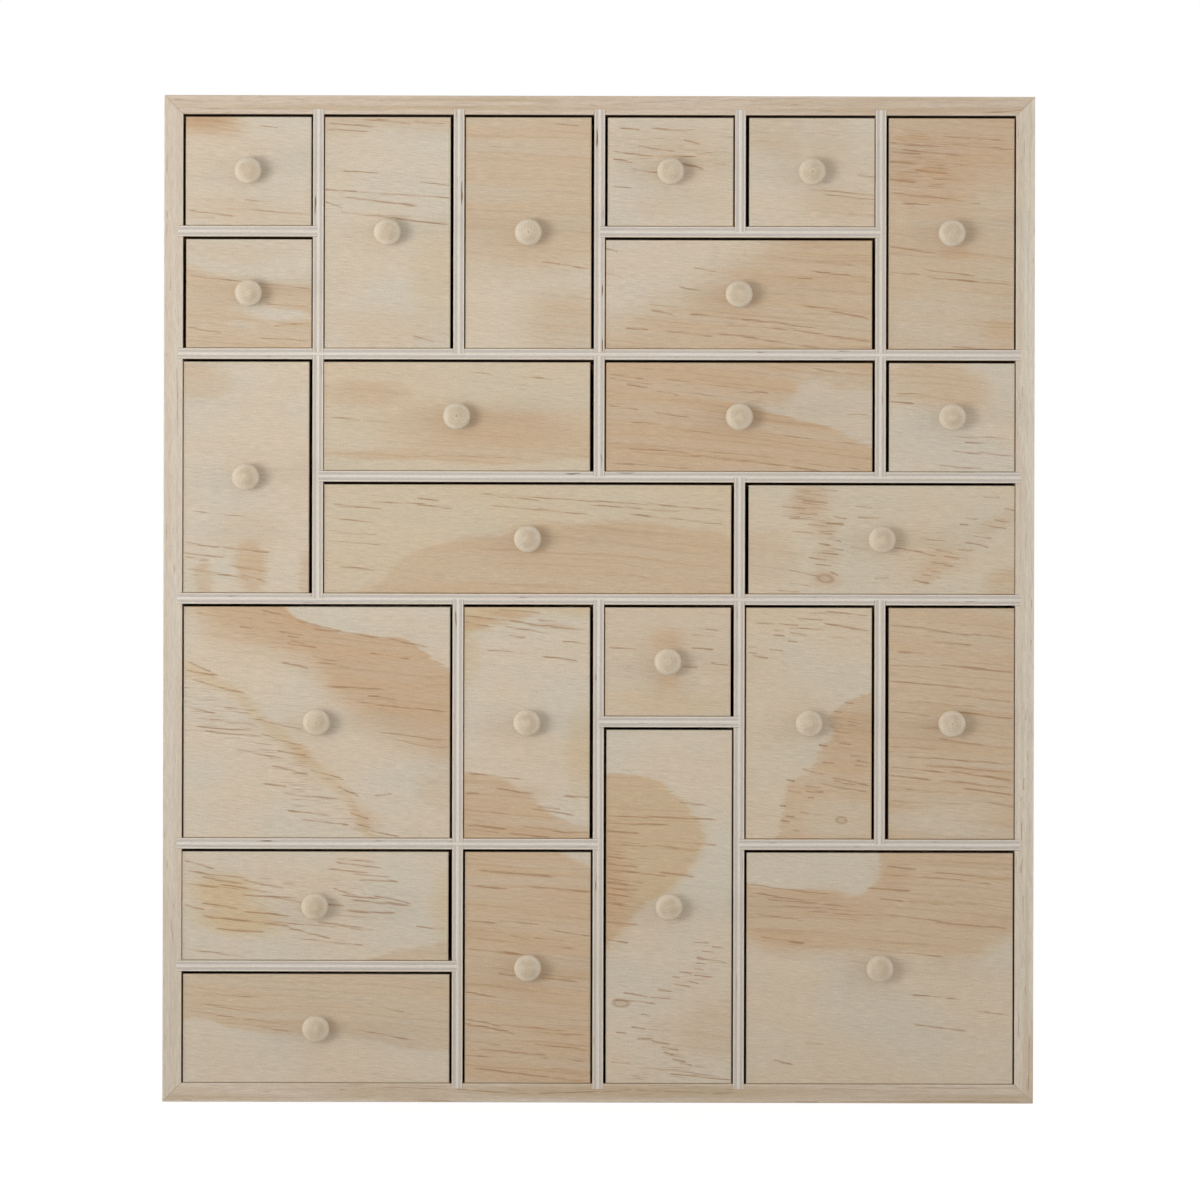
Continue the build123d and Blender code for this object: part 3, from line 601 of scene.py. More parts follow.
        "clusters": [oval(1.0, 0.5, -20, 12, 13, 22), oval(0.9, 0.6, 12, -27, 18, 5, 35),
            oval(0.9, 0.6, 0, -54, 20, 5, -48), oval(0.8, 0.5, 0, -66, 25, 5)],
        "knots": [((-19, -38.6), (3.6, 1.7))],
        "lines": [(-25, 36, -5, 35.8, 0.6), (-14, 35.8, 19, 34.5, 0.95), (-25, 33.5, 0, 32.3, 0.8),
            (-25, 30.5, -12, 29.5, 0.9), (-12, 24.5, 14, 22.5, 0.5), (4, 41.5, 16, 40, 0.6),
            (-6, 24.8, 4, 23, 0.7), (10, 25, 19, 24.3, 0.6), (-25, 20, -18, 19, 0.9),
            (-25, 14.5, 0, 12.3, 0.8), (-4, 13.8, 10, 12.3, 0.9), (-25, 11, -10, 9.5, 0.7),
            (-25, 7.5, -12, 6.5, 0.9), (-25, 5, -16, 4, 0.8), (-25, 2, -18, 0.5, 0.8),
            (-25, -6, -12, -7.3, 0.7), (-25, -13.2, -16, -14.5, 0.9), (10, -14, 16, -14.6, 0.5),
            (13, -17.6, 18, -18.2, 0.6), (-22, -37, -5, -38.7, 0.8), (0, -66, 25, -68.5, 0.8),
            (-10, -64, 10, -65.5, 0.5), (-25, 17, -12, 15.6, 0.9), (-25, 9.6, -16, 8.5, 0.8),
            (-18, -34.2, -8, -36.2, 0.8), (-8, -36, 1, -36.4, 0.6), (17, -16, 22, -16.7, 0.7),
            (11, -20.3, 16, -21.2, 0.8), (14, -20.9, 23, -22.1, 0.7), (11, -22.3, 15, -23.2, 0.8),
            (10, -24.6, 14, -25.2, 0.7), (4, -26, 9.5, -26.7, 0.7), (10, -27, 17, -28, 0.6),
            (1.3, -28, 4.6, -28.5, 0.8), (8, -29.7, 12, -30.5, 0.6), (2, -31, 8.7, -31.8, 0.8),
            (-4.5, -33, 1.3, -33.7, 0.7), (-11, -42.7, -7.5, -43.7, 0.7), (-15, -48, -9, -49, 0.8),
            (-21, -50, -16.5, -50.7, 0.6), (-12.5, -52.5, -6, -53.3, 0.7), (-7, -53.5, 0.5, -55, 0.8),
            (-3, -55.8, 4, -57, 0.7), (-2, -57.8, 2, -58.7, 0.7), (1.3, -60.3, 7, -61.5, 0.8),
            (4.5, -62, 9.5, -63, 0.8), (-23, -61.5, -15, -62.3, 0.5)],
    },
    "24": {
        "heart": [(0.9, ("over", 5, [(-53, 13), (-45, 8.5), (-30, 6.5), (0, 5.2), (25, 4.2), (40, 6.5),
                (53, 11)]))],
        "pale": [(1.0, ("over", 0.8, [(-53, 34.5), (-35, 32), (-20, 30), (-8, 30.5), (-2, 34), (6, 37),
                (53, 60)]), ("leftOf", 0.9, [(-47, 20), (25, 4), (30, -4), (34, -1), (40, 0.5),
                (47, -2)]))],
        "rust": [oval(0.3, 0.7, -26, 26.5, 28, 5, -5), oval(0.3, 0.6, 5, 36.5, 7, 6),
            oval(0.22, 0.7, -42, 9.8, 12, 4, -6), oval(0.25, 0.7, 38, 17.5, 16, 2, -5)],
        "ochre": [(0.1, everywhere)],
        "lines": [(-52, 33, -20, 29.5, 0.6), (-52, 30, -30, 27, 0.7), (-45, 27.5, -10, 24.5, 0.6),
            (-40, 25, 0, 22.5, 0.4), (3, 40.5, 15, 39.5, 0.9), (0, 37.5, 30, 35, 0.5),
            (-5, 32.3, 12, 31, 0.9), (20, 38.5, 52, 35, 0.6), (15, 36.5, 45, 33.5, 0.5),
            (0, 28, 10, 26.5, 0.8), (10, 26.8, 30, 25, 0.5), (30, 26.5, 45, 25, 0.6),
            (-50, 21.5, -30, 19, 0.4), (-30, 23, 10, 20.5, 0.5), (5, 21, 30, 18, 0.5),
            (22, 18.5, 52, 15.5, 0.9), (-48, 12.3, -30, 9.8, 0.7), (-5, 7.5, 10, 6, 0.5),
            (10, 6, 25, 5, 0.6), (13, -22, 35, -25, 0.7), (12, -10.5, 32, -12.5, 0.4),
            (38, -17, 52, -18.5, 0.45), (-42, -36.5, -34, -38.3, 0.8), (-30, -29.5, -22, -30.3, 0.4)],
    },
}


def veneerMaterial(name, figure=None):
    material, tree, shader = startMaterial(name, veneer["gloss"])
    grain = readGrain(tree)
    turned = tree.nodes.new("ShaderNodeMapping")
    turned.inputs["Rotation"].default_value = (0.0, 0.0, math.radians(veneer["slope"]))
    tree.links.new(grain, turned.inputs["Vector"])
    sloped = turned.outputs[0]
    swell = shifted(tree, noise(tree, sloped, (0.012, 0.03, 1.0)), veneer["swell"])
    fibres = vectorCalc(tree, "ADD", sloped, joinVector(tree, 0.0, swell, 0.0))
    fine = noise(tree, fibres, (0.1, 2.0, 1.0), 3.0)
    hair = noise(tree, fibres, (0.22, 2.3, 1.0))
    silk = noise(tree, fibres, (1.8, 2.8, 1.0))
    growth = noise(tree, fibres, (0.008, 0.16, 1.0), 3.0)
    cloud = noise(tree, grain, (0.02, 0.03, 1.0))
    rings = ramp(tree, noise(tree, fibres, (0.014, 0.75, 1.0)), 0.52, 0.68)
    feather = shifted(tree, noise(tree, sloped, (0.06, 1.5, 1.0)), veneer["rag"])
    wander = shifted(tree, noise(tree, grain, (0.035, 0.06, 1.0)), veneer["wander"])
    flat = vectorCalc(tree, "MULTIPLY", grain, (1.0, 1.0, 0.0))
    ragged = vectorCalc(tree, "ADD", flat, joinVector(tree, feather, wander, 0.0))
    drift = shifted(tree, noise(tree, grain, (0.04, 0.05, 1.0)), veneer["drift"])
    strung = vectorCalc(tree, "ADD", flat, joinVector(tree, 0.0, drift, 0.0))

    if figure is None:        # hidden boards take their heartwood and streaks from the noise
        heart = ramp(tree, noise(tree, ragged, (0.005, 0.028, 1.0), 1.0), 0.42, 0.68, 0.0, 0.85)
        cluster = ramp(tree, noise(tree, grain, (0.03, 0.05, 1.0)), 0.5, 0.7)
        pale, ochre, rust, lines = 0.0, 0.0, 0.0, 0.0
    else:
        layers = ("heart", "pale", "ochre", "rust", "clusters")
        drawn = [regionMask(tree, ragged, figure.get(layer, [])) for layer in layers]
        heart, pale, ochre, rust, cluster = drawn
        lines = lineMask(tree, strung, figure.get("lines", []), veneer["lineThickness"])
    heart = calc(tree, "MULTIPLY", heart, calc(tree, "SUBTRACT", 1.0, pale))
    heart = calc(tree, "MULTIPLY", heart, ramp(tree, growth, 0.3, 0.7, 0.62, 1.12))
    # a streak is a broken core with rusty wisps round it, and dashes gather near it and in the clusters
    broken = ramp(tree, noise(tree, fibres, (0.16, 1.2, 1.0)), 0.32, 0.55, 0.35, 1.0)
    core = calc(tree, "MULTIPLY", ramp(tree, lines, 0.6, 0.98, 0.0, veneer["coreStrength"]), broken)
    wisps = calc(tree, "MULTIPLY", ramp(tree, lines, 0.1, 0.8, 0.0, veneer["wispStrength"]), broken)
    inCluster = calc(tree, "MULTIPLY", cluster, veneer["clusterShare"])
    gathered = calc(tree, "MAXIMUM", inCluster, ramp(tree, lines, 0.0, 0.8))
    dashStart = calc(tree, "MULTIPLY_ADD", gathered, -veneer["dashGather"], veneer["dashLevel"])
    dashEnd = calc(tree, "ADD", dashStart, veneer["dashSoft"])
    dashes = ramp(tree, noise(tree, fibres, (0.08, 2.3, 1.0), 1.0), dashStart, dashEnd)
    dashes = calc(tree, "MULTIPLY", dashes, calc(tree, "MULTIPLY_ADD", gathered, 0.6, 0.25))
    ringLines = calc(tree, "MULTIPLY", rings, calc(tree, "MULTIPLY_ADD", heart, 0.2, 0.05))
    streaks = calc(tree, "MAXIMUM", calc(tree, "MAXIMUM", core, dashes), ringLines)

    color = mixColor(tree, ramp(tree, cloud, 0.35, 0.65), veneer["cream"], veneer["pale"])
    color = mixColor(tree, pale, color, veneer["pale"])
    color = mixColor(tree, ochre, color, veneer["ochre"])
    color = mixColor(tree, heart, color, veneer["heart"])
    color = mixColor(tree, calc(tree, "MAXIMUM", rust, wisps), color, veneer["rust"])
    color = mixColor(tree, calc(tree, "MULTIPLY", streaks, veneer["streakShare"]), color, veneer["streak"])
    for middle, radii in (figure or {}).get("knots", []):
        rim = ovalMask(tree, strung, veneer["knotSoft"], middle, radii, veneer["knotTurn"])
        inner = [radius * veneer["knotCore"] for radius in radii]
        eye = ovalMask(tree, strung, veneer["knotSoft"], middle, inner, veneer["knotTurn"])
        ring = calc(tree, "MULTIPLY_ADD", eye, -0.35, calc(tree, "MULTIPLY", rim, 0.55))
        color = mixColor(tree, ring, color, veneer["knot"])
    tone = addShares(tree, 1.0, *zip((fine, hair, silk, growth), veneer["toneShares"]))
    worn = wornEdges(tree, veneer["wornReach"])
    color = shade(tree, color, calc(tree, "MULTIPLY_ADD", worn, veneer["wornPaler"], tone))
    height = calc(tree, "SUBTRACT", calc(tree, "ADD", fine, hair), rings)
    rough = calc(tree, "MULTIPLY_ADD", worn, veneer["wornRougher"], ramp(tree, fine, 0.2, 0.8, 0.55, 0.7))
    dress(tree, shader, color, rough, height, veneer["bumpDepth"])
    return material


# Cut edges of the plywood

plyEdge = {
    "cream": srgb(219, 208, 193),
    "white": srgb(229, 222, 212),
    "core": srgb(193, 183, 173),
    "mark": srgb(128, 104, 84),
    "wobble": 0.125,       # mm that the layers wave to either side
    "coreShare": 0.8,
    "wornReach": 0.4,      # mm from the edges
    "wornPaler": 0.04,
    "bumpDepth": 0.06,     # mm
    "gloss": 0.2,
}


def plyEdgeMaterial(name, thickness, layers):
    # layers counted through the board, the crosswise ones greyer than the lengthwise ones
    material, tree, shader = startMaterial(name, plyEdge["gloss"])
    grain = readGrain(tree)
    through = splitVector(tree, grain)[2]
    wobble = shifted(tree, noise(tree, grain, (0.03, 0.03, 0.0)), plyEdge["wobble"])
    waved = calc(tree, "ADD", through, wobble)
    level = calc(tree, "MULTIPLY_ADD", waved, (layers - 1) / thickness, (layers - 1) / 2)
    inLayer = calc(tree, "PINGPONG", level, 1.0)
    crosswise = ramp(tree, inLayer, 0.35, 0.65)
    threads = noise(tree, grain, (0.04, 3.0, 6.0))
    speckle = noise(tree, grain, (0.9, 0.9, 3.0))
    marks = ramp(tree, noise(tree, grain, (0.06, 0.2, 0.9)), 0.68, 0.74)
    color = mixColor(tree, ramp(tree, threads, 0.35, 0.65), plyEdge["cream"], plyEdge["white"])
    color = mixColor(tree, calc(tree, "MULTIPLY", crosswise, plyEdge["coreShare"]), color, plyEdge["core"])
    color = mixColor(tree, calc(tree, "MULTIPLY", marks, crosswise), color, plyEdge["mark"])
    worn = wornEdges(tree, plyEdge["wornReach"])
    tone = calc(tree, "MULTIPLY_ADD", worn, plyEdge["wornPaler"], ramp(tree, speckle, 0.2, 0.8, 0.93, 1.06))
    color = shade(tree, color, tone)
    height = calc(tree, "SUBTRACT", threads, crosswise)
    dress(tree, shader, color, ramp(tree, speckle, 0.2, 0.8, 0.65, 0.8), height, plyEdge["bumpDepth"])
    return material


# Solid pine of the frame

pine = {
    "streak": srgb(150, 112, 78),
    "lineThickness": 0.7,  # mm
    "frontDepth": 5.0,     # mm behind the front edge that the drawn figure reaches
    "bend": 7.0,           # mm that the year rings swing to either side
    "sway": 0.6,           # mm that the drawn figure does
    "streakShare": 0.75,
    "toneShares": (0.22, 0.4, 0.36),          # of the fine grain, hair and silk
    "wornReach": 0.8,      # mm from the edges
    "wornPaler": 0.05,
    "wornRougher": 0.08,
    "bumpDepth": 0.05,     # mm
    "gloss": 0.25,
}


def pineMaterial(name, board):
    # the figure is drawn on the front edge, in mm along the board and through it
    material, tree, shader = startMaterial(name, pine["gloss"])
    grain = readGrain(tree)
    along, across, through = splitVector(tree, readGrain(tree, "place"))
    depth = splitVector(tree, readGrain(tree, "half"))[1]
    onFront = ramp(tree, calc(tree, "ADD", across, depth), pine["frontDepth"], 1.0)
    bend = shifted(tree, noise(tree, grain, (0.006, 0.02, 0.02)), pine["bend"])
    rings = vectorCalc(tree, "ADD", grain, joinVector(tree, 0.0, bend, calc(tree, "MULTIPLY", bend, 0.4)))
    bands = noise(tree, rings, (0.003, 0.22, 0.3))
    latewood = ramp(tree, noise(tree, rings, (0.004, 0.8, 0.9)), 0.5, 0.7)
    fine = noise(tree, rings, (0.06, 2.4, 2.4), 3.0)
    hair = noise(tree, rings, (0.2, 2.0, 2.0))
    silk = noise(tree, grain, (1.5, 2.2, 2.2))
    dashes = ramp(tree, noise(tree, rings, (0.09, 1.1, 1.1), 1.0), 0.7, 0.78)
    sway = shifted(tree, noise(tree, grain, (0.05, 0.05, 0.05)), pine["sway"])
    drawn = joinVector(tree, along, calc(tree, "ADD", through, sway), 0.0)
    heart = calc(tree, "MULTIPLY", regionMask(tree, drawn, board["heart"]), onFront)
    lines = calc(tree, "MULTIPLY", lineMask(tree, drawn, board["lines"], pine["lineThickness"]), onFront)
    broken = ramp(tree, noise(tree, rings, (0.1, 1.4, 1.4)), 0.3, 0.6, 0.3, 1.0)
    core = calc(tree, "MULTIPLY", ramp(tree, lines, 0.42, 0.95), broken)
    streaks = calc(tree, "MAXIMUM", core, calc(tree, "MULTIPLY", dashes, 0.5))
    color = mixColor(tree, ramp(tree, bands, 0.4, 0.72, 0.0, 0.8), board["early"], board["late"])
    color = mixColor(tree, calc(tree, "MULTIPLY", latewood, 0.5), color, board["late"])
    color = mixColor(tree, heart, color, board["late"])
    color = mixColor(tree, calc(tree, "MULTIPLY", streaks, pine["streakShare"]), color, pine["streak"])
    worn = wornEdges(tree, pine["wornReach"])
    tone = addShares(tree, 1.0, *zip((fine, hair, silk), pine["toneShares"]))
    color = shade(tree, color, calc(tree, "MULTIPLY_ADD", worn, pine["wornPaler"], tone))
    height = calc(tree, "SUBTRACT", calc(tree, "ADD", fine, hair), dashes)
    rough = calc(tree, "MULTIPLY_ADD", worn, pine["wornRougher"], ramp(tree, fine, 0.2, 0.8, 0.5, 0.66))
    dress(tree, shader, color, rough, height, pine["bumpDepth"])
    return material


# Turned wood of the knobs and the steel of the pins

knobWood = {
    "pale": srgb(211, 195, 171),
    "ring": srgb(190, 169, 140),
    "rim": srgb(229, 217, 198),       # painted highlight: a paler ring round the knob's rim
    "dot": srgb(120, 96, 72),
    "ringStep": 0.55,      # mm, half of the way from one year ring to the next
    "ringWobble": 1.2,     # mm to either side
    "ringShare": 0.4,
    "dotShare": 0.6,
    "toneShares": (0.34, 0.32),               # of the fine grain and the turning marks
    "bumpDepth": 0.04,     # mm
    "gloss": 0.3,
}


def knobMaterial(name):
    # grain is taken from the middle of the tree, place from the turning axis
    material, tree, shader = startMaterial(name, knobWood["gloss"])
    grain = readGrain(tree)
    u, v, deep = splitVector(tree, readGrain(tree, "place"))
    radius = vectorCalc(tree, "LENGTH", joinVector(tree, u, v, 0.0))
    ragged = shifted(tree, noise(tree, grain, (0.12, 0.12, 0.05)), knobWood["ringWobble"])
    pith = vectorCalc(tree, "LENGTH", vectorCalc(tree, "MULTIPLY", grain, (1.0, 1.0, 0.0)))
    year = calc(tree, "PINGPONG", calc(tree, "ADD", pith, ragged), knobWood["ringStep"])
    rings = ramp(tree, year, 0.5 * knobWood["ringStep"], knobWood["ringStep"])
    turning = noise(tree, joinVector(tree, radius, deep, 0.0), (1.3, 1.3, 1.0), 1.0)
    fine = noise(tree, grain, (1.6, 1.6, 0.4), 3.0)
    blotch = noise(tree, grain, (0.22, 0.22, 0.15))
    color = mixColor(tree, ramp(tree, blotch, 0.35, 0.65, 0.0, 0.5), knobWood["pale"], knobWood["ring"])
    color = mixColor(tree, calc(tree, "MULTIPLY", rings, knobWood["ringShare"]), color, knobWood["ring"])
    chosen = ramp(tree, noise(tree, grain, (0.05, 0.05, 0.1)), 0.55, 0.6)
    dot = calc(tree, "MULTIPLY", ramp(tree, radius, 0.45, 0.2), ramp(tree, deep, -9.0, -10.0))
    chosen = calc(tree, "MULTIPLY", chosen, knobWood["dotShare"])
    color = mixColor(tree, calc(tree, "MULTIPLY", dot, chosen), color, knobWood["dot"])
    # painted highlight: the colour turns paler towards the edge of the knob's head
    rimHighlight = calc(tree, "MULTIPLY", ramp(tree, radius, 2.6, 5.0, 0.0, 0.55), ramp(tree, deep, -4.5, -6.5))
    color = mixColor(tree, rimHighlight, color, knobWood["rim"])
    tone = addShares(tree, 1.0, *zip((fine, turning), knobWood["toneShares"]))
    color = shade(tree, color, tone)
    height = calc(tree, "ADD", turning, calc(tree, "MULTIPLY", fine, 0.4))
    dress(tree, shader, color, ramp(tree, turning, 0.2, 0.8, 0.45, 0.6), height, knobWood["bumpDepth"])
    return material


pinSteel = {
    "bright": srgb(176, 174, 170),
    "dull": srgb(150, 147, 142),
    "rust": srgb(118, 98, 80),
    "rustShare": 0.5,
    "bumpDepth": 0.02,     # mm
    "gloss": 0.5,
}


def steelMaterial(name):
    material, tree, shader = startMaterial(name, pinSteel["gloss"])
    shader.inputs["Metallic"].default_value = 1.0
    grain = readGrain(tree)
    dull = noise(tree, grain, (1.5, 1.5, 1.5), 3.0)
    spots = ramp(tree, noise(tree, grain, (3.0, 3.0, 3.0)), 0.6, 0.72)
    color = mixColor(tree, ramp(tree, dull, 0.3, 0.7), pinSteel["bright"], pinSteel["dull"])
    color = mixColor(tree, calc(tree, "MULTIPLY", spots, pinSteel["rustShare"]), color, pinSteel["rust"])
    dress(tree, shader, color, ramp(tree, dull, 0.3, 0.7, 0.3, 0.5), dull, pinSteel["bumpDepth"])
    return material


print("materials ready to paint")


# Modelling helpers

creaseAngle = math.radians(30)       # edges flatter than this aren't eased
smoothAngle = math.radians(40)       # turned pieces are shaded smooth up to this
flatAngle = math.radians(1)          # triangles this flat make one face
faceLean = 0.3                       # sides that lean more than this to the face take its veneer


def deselectAll():
    bpy.ops.object.select_all(action="DESELECT")


def workOn(piece):
    deselectAll()
    piece.select_set(True)
    bpy.context.view_layer.objects.active = piece


def rename(piece, name):
    piece.name = name
    piece.data.name = name


def addObject(name, data):
    added = bpy.data.objects.new(name, data)
    bpy.context.scene.collection.objects.link(added)
    return added


def joinAll(pieces):
    workOn(pieces[0])
    for piece in pieces:
        piece.select_set(True)
    bpy.ops.object.join()
    return pieces[0]


def addBoard(low, high):
    deselectAll()
    bpy.ops.mesh.primitive_cube_add(size=1.0, location=(low + high) / 2)
    board = bpy.context.active_object
    board.scale = high - low
    bpy.ops.object.transform_apply(location=True, rotation=True, scale=True)
    return board


def easeEdges(board, ease, wanted, steps=2):
    # rounds the edges for which wanted(edge) holds, by so many mm
    workOn(board)
    bpy.ops.object.mode_set(mode="EDIT")
    bpy.ops.mesh.select_mode(type="EDGE")
    bpy.ops.mesh.select_all(action="DESELECT")
    wire = bmesh.from_edit_mesh(board.data)
    for edge in wire.edges:
        if wanted(edge):
            edge.select_set(True)
    bmesh.update_edit_mesh(board.data)
    bpy.ops.mesh.bevel(offset=ease * mm, segments=steps, affect="EDGES")
    bpy.ops.object.mode_set(mode="OBJECT")


def easeOuterEdges(board, settings, alsoOn=None):
    # eases the long edges on the front and the back, and those for which alsoOn(edge) holds
    low, high = boxOf(board)

    def wanted(edge):
        if len(edge.link_faces) != 2 or not edge.is_convex:
            return False
        if edge.calc_length() <= settings["shortest"] * mm or edge.calc_face_angle() <= creaseAngle:
            return False
        depths = [point.co.y for point in edge.verts]
        if max(depths) < low.y + touching or min(depths) > high.y - touching:
            return True
        return alsoOn is not None and alsoOn(edge)

    easeEdges(board, settings["ease"], wanted)


def setGrain(piece, axes, middle, drift=(0.0, 0.0, 0.0)):
    # in mm along the grain, across it and through the board: where each point is in its wood (grain)
    # and in its piece (place), and half of the piece (half)
    low, high = boxOf(piece)
    half = [(high[axis] - low[axis]) / 2 / mm for axis in axes]
    for name in ("grain", "place", "half"):
        piece.data.attributes.new(name, "FLOAT_VECTOR", "POINT")
    grain, place, halves = [piece.data.attributes[name] for name in ("grain", "place", "half")]
    for index, point in enumerate(piece.data.vertices):
        offset = (point.co - middle) / mm
        inPiece = [offset[axis] for axis in axes]
        place.data[index].vector = inPiece
        grain.data[index].vector = [value + shift for value, shift in zip(inPiece, drift)]
        halves.data[index].vector = half


def paintBoard(board, face, edge, through):
    # the face veneer wraps the eased edges, and the plies show on the square ones
    board.data.materials.clear()
    board.data.materials.append(face)
    board.data.materials.append(edge)
    for polygon in board.data.polygons:
        polygon.material_index = 0 if abs(polygon.normal[through]) > faceLean else 1


def boxOf(piece):
    corners = [point.co for point in piece.data.vertices]
    low = Vector([min(corner[axis] for corner in corners) for axis in range(3)])
    high = Vector([max(corner[axis] for corner in corners) for axis in range(3)])
    return low, high


def byPlace(piece):
    # to 0.1 mm, so that the last digits of a mesh don't decide the order
    return [round(number, 4) for number in boxOf(piece)[0]]


def copyNode(nodeName, several=False):
    # a welded copy of a CAD part, or one for each of its boards, in the order of their places
    copy = addObject(nodeName + "_copy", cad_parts[nodeName].data.copy())
    copy.data.materials.clear()
    workOn(copy)
    bpy.ops.object.mode_set(mode="EDIT")
    bpy.ops.mesh.select_all(action="SELECT")
    bpy.ops.mesh.customdata_custom_splitnormals_clear()
    bpy.ops.mesh.remove_doubles(threshold=weldReach)
    bpy.ops.mesh.dissolve_limited(angle_limit=flatAngle)
    if several:
        bpy.ops.mesh.separate(type="LOOSE")
    bpy.ops.object.mode_set(mode="OBJECT")
    return sorted(bpy.context.selected_objects, key=byPlace)


def turnOutline(outline, steps):
    # spins a half outline of (radius, height) in mm round the Y axis, with its height towards the front
    points = [Vector((radius, -height, 0.0)) * mm for radius, height in outline]
    deselectAll()
    bpy.ops.mesh.primitive_plane_add(size=1.0 * mm, location=points[0])
    turned = bpy.context.active_object
    bpy.ops.object.transform_apply(location=True, rotation=True, scale=True)
    bpy.ops.object.mode_set(mode="EDIT")
    bpy.ops.mesh.select_mode(type="VERT")
    bpy.ops.mesh.select_all(action="SELECT")
    bpy.ops.mesh.merge(type="CENTER")
    for before, after in zip(points, points[1:]):
        bpy.ops.mesh.extrude_vertices_move(TRANSFORM_OT_translate={"value": after - before})
    bpy.ops.mesh.select_all(action="SELECT")
    bpy.ops.mesh.spin(steps=steps, angle=math.tau, center=(0.0, 0.0, 0.0), axis=(0.0, 1.0, 0.0))
    bpy.ops.mesh.select_all(action="SELECT")
    bpy.ops.mesh.remove_doubles(threshold=weldReach)
    bpy.ops.mesh.normals_make_consistent(inside=False)
    bpy.ops.object.mode_set(mode="OBJECT")
    bpy.ops.object.shade_smooth_by_angle(angle=smoothAngle)
    return turned


def copyTo(piece, place):
    copy = piece.copy()
    copy.data = piece.data.copy()
    bpy.context.scene.collection.objects.link(copy)
    workOn(copy)
    copy.location = place
    bpy.ops.object.transform_apply(location=True, rotation=True, scale=True)
    return copy


def hang(piece, body, slotName, *nodes):
    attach(piece, body)
    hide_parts(*nodes)


# Frame boards, mitred at the corners

frameBoards = {
    "ease": 0.25,          # mm
    "shortest": 5.0,       # shorter edges belong to housings and pin holes
    "grainStep": (430.0, 0.0, 37.0),          # mm from one board's wood to the next one's
    "boards": {
        "top": {
            "axes": lying,
            "early": srgb(207, 190, 170),
            "late": srgb(192, 167, 137),
            "heart": [oval(0.45, 0.6, -80, -1.2, 90, 1.0), oval(0.4, 0.6, -45, 2.2, 60, 0.8),
                oval(0.5, 0.6, 140, -1.8, 40, 1.3, 1)],
            "lines": [(-170, 2.2, -157.5, 0.8, 0.4), (-160, -1.6, -123, -1.5, 0.35),
                (-87, 2.1, -20, 2.0, 0.25), (-87, -0.9, -10, -0.6, 0.3), (0.5, 0.3, 37, 2.1, 0.35),
                (37, 2.1, 88, 3.2, 0.35), (8, 0.1, 15, 0.4, 0.4), (152, -3.0, 169, -1.5, 0.6),
                (156, -2.4, 161, -2.2, 0.5)],
        },
        "bottom": {
            "axes": lying,
            "early": srgb(213, 199, 181),
            "late": srgb(192, 170, 141),
            "heart": [oval(0.6, 0.6, -80, 0, 30, 3, -3), oval(0.9, 0.6, 15, 0.8, 75, 2.6),
                oval(0.7, 0.5, 140, -3.4, 40, 0.9)],
            "lines": [(-133, 0.3, -130, 0.4, 0.4), (-115.7, -1.3, -112, -1.3, 0.5),
                (-165, -3.0, -161, -3.1, 0.5), (-87, 2.4, -58, 1.3, 0.6), (-58, 1.5, -25, -0.4, 0.7),
                (-25, -0.4, 1, 0.7, 0.7), (-76, 2.9, -59, 2.4, 0.4), (-72, -3.2, -58, -3.3, 0.5),
                (1, 0.2, 14, 1.6, 0.6), (14, 1.6, 45, -0.2, 0.6), (45, -0.2, 54, 0.6, 0.6),
                (19, 3.3, 35, 3.0, 0.4), (22, 1.4, 33, 0.5, 0.4), (78, -3.2, 88, -3.3, 0.6),
                (88, 1.9, 112, 1.5, 0.5), (117, 2.6, 150, 2.1, 0.5), (125, -3.2, 170, -3.0, 0.4)],
        },
        "left": {
            "axes": upright,
            "early": srgb(212, 199, 182),
            "late": srgb(205, 188, 167),
            "heart": [],
            "lines": [(154, -2.5, 151, -2.5, 0.6), (126.5, -1.3, 122.3, -1.3, 0.4),
                (120.5, -3.0, 112.2, -3.1, 0.5), (107.5, 0.7, 100.9, 0.7, 0.35), (92.7, 1.2, 63, 2.1, 0.5),
                (30, -2.6, 22.5, -2.6, 0.45), (29, 1.5, 26, 1.5, 0.3)],
        },
        "right": {
            "axes": upright,
            "early": srgb(218, 207, 190),
            "late": srgb(204, 186, 163),
            "heart": [oval(1.0, 0.5, -190, 3.2, 24, 1.6, 2)],
            "lines": [(166, -1.5, 163.6, -1.5, 0.4), (135.8, 3.0, 134, 3.0, 0.5),
                (181, -0.7, 177, -0.7, 0.25), (85, -1.1, 81, -1.1, 0.5), (78.3, -1.7, 75.8, -1.7, 0.35),
                (0.5, 2.9, -2.9, 2.9, 0.5), (-15.5, 2.7, -20.6, 2.6, 0.6), (-43.4, 0.5, -48, 0.4, 0.6),
                (-70.4, -0.3, -75.5, -0.4, 0.7), (-78, -1.3, -80, -1.3, 0.5), (-88, -0.9, -95.7, -0.9, 0.6),
                (-105, -1.1, -108.5, -1.2, 0.7), (-117, -0.3, -128, -0.6, 0.7),
                (-140.6, -0.6, -146.5, -0.7, 0.6), (-153, 0.7, -156.7, 0.6, 0.5),
                (-163.5, -1.9, -173.6, -2.0, 0.6), (-172, 2.4, -196, 1.6, 0.7)],
        },
    },
}


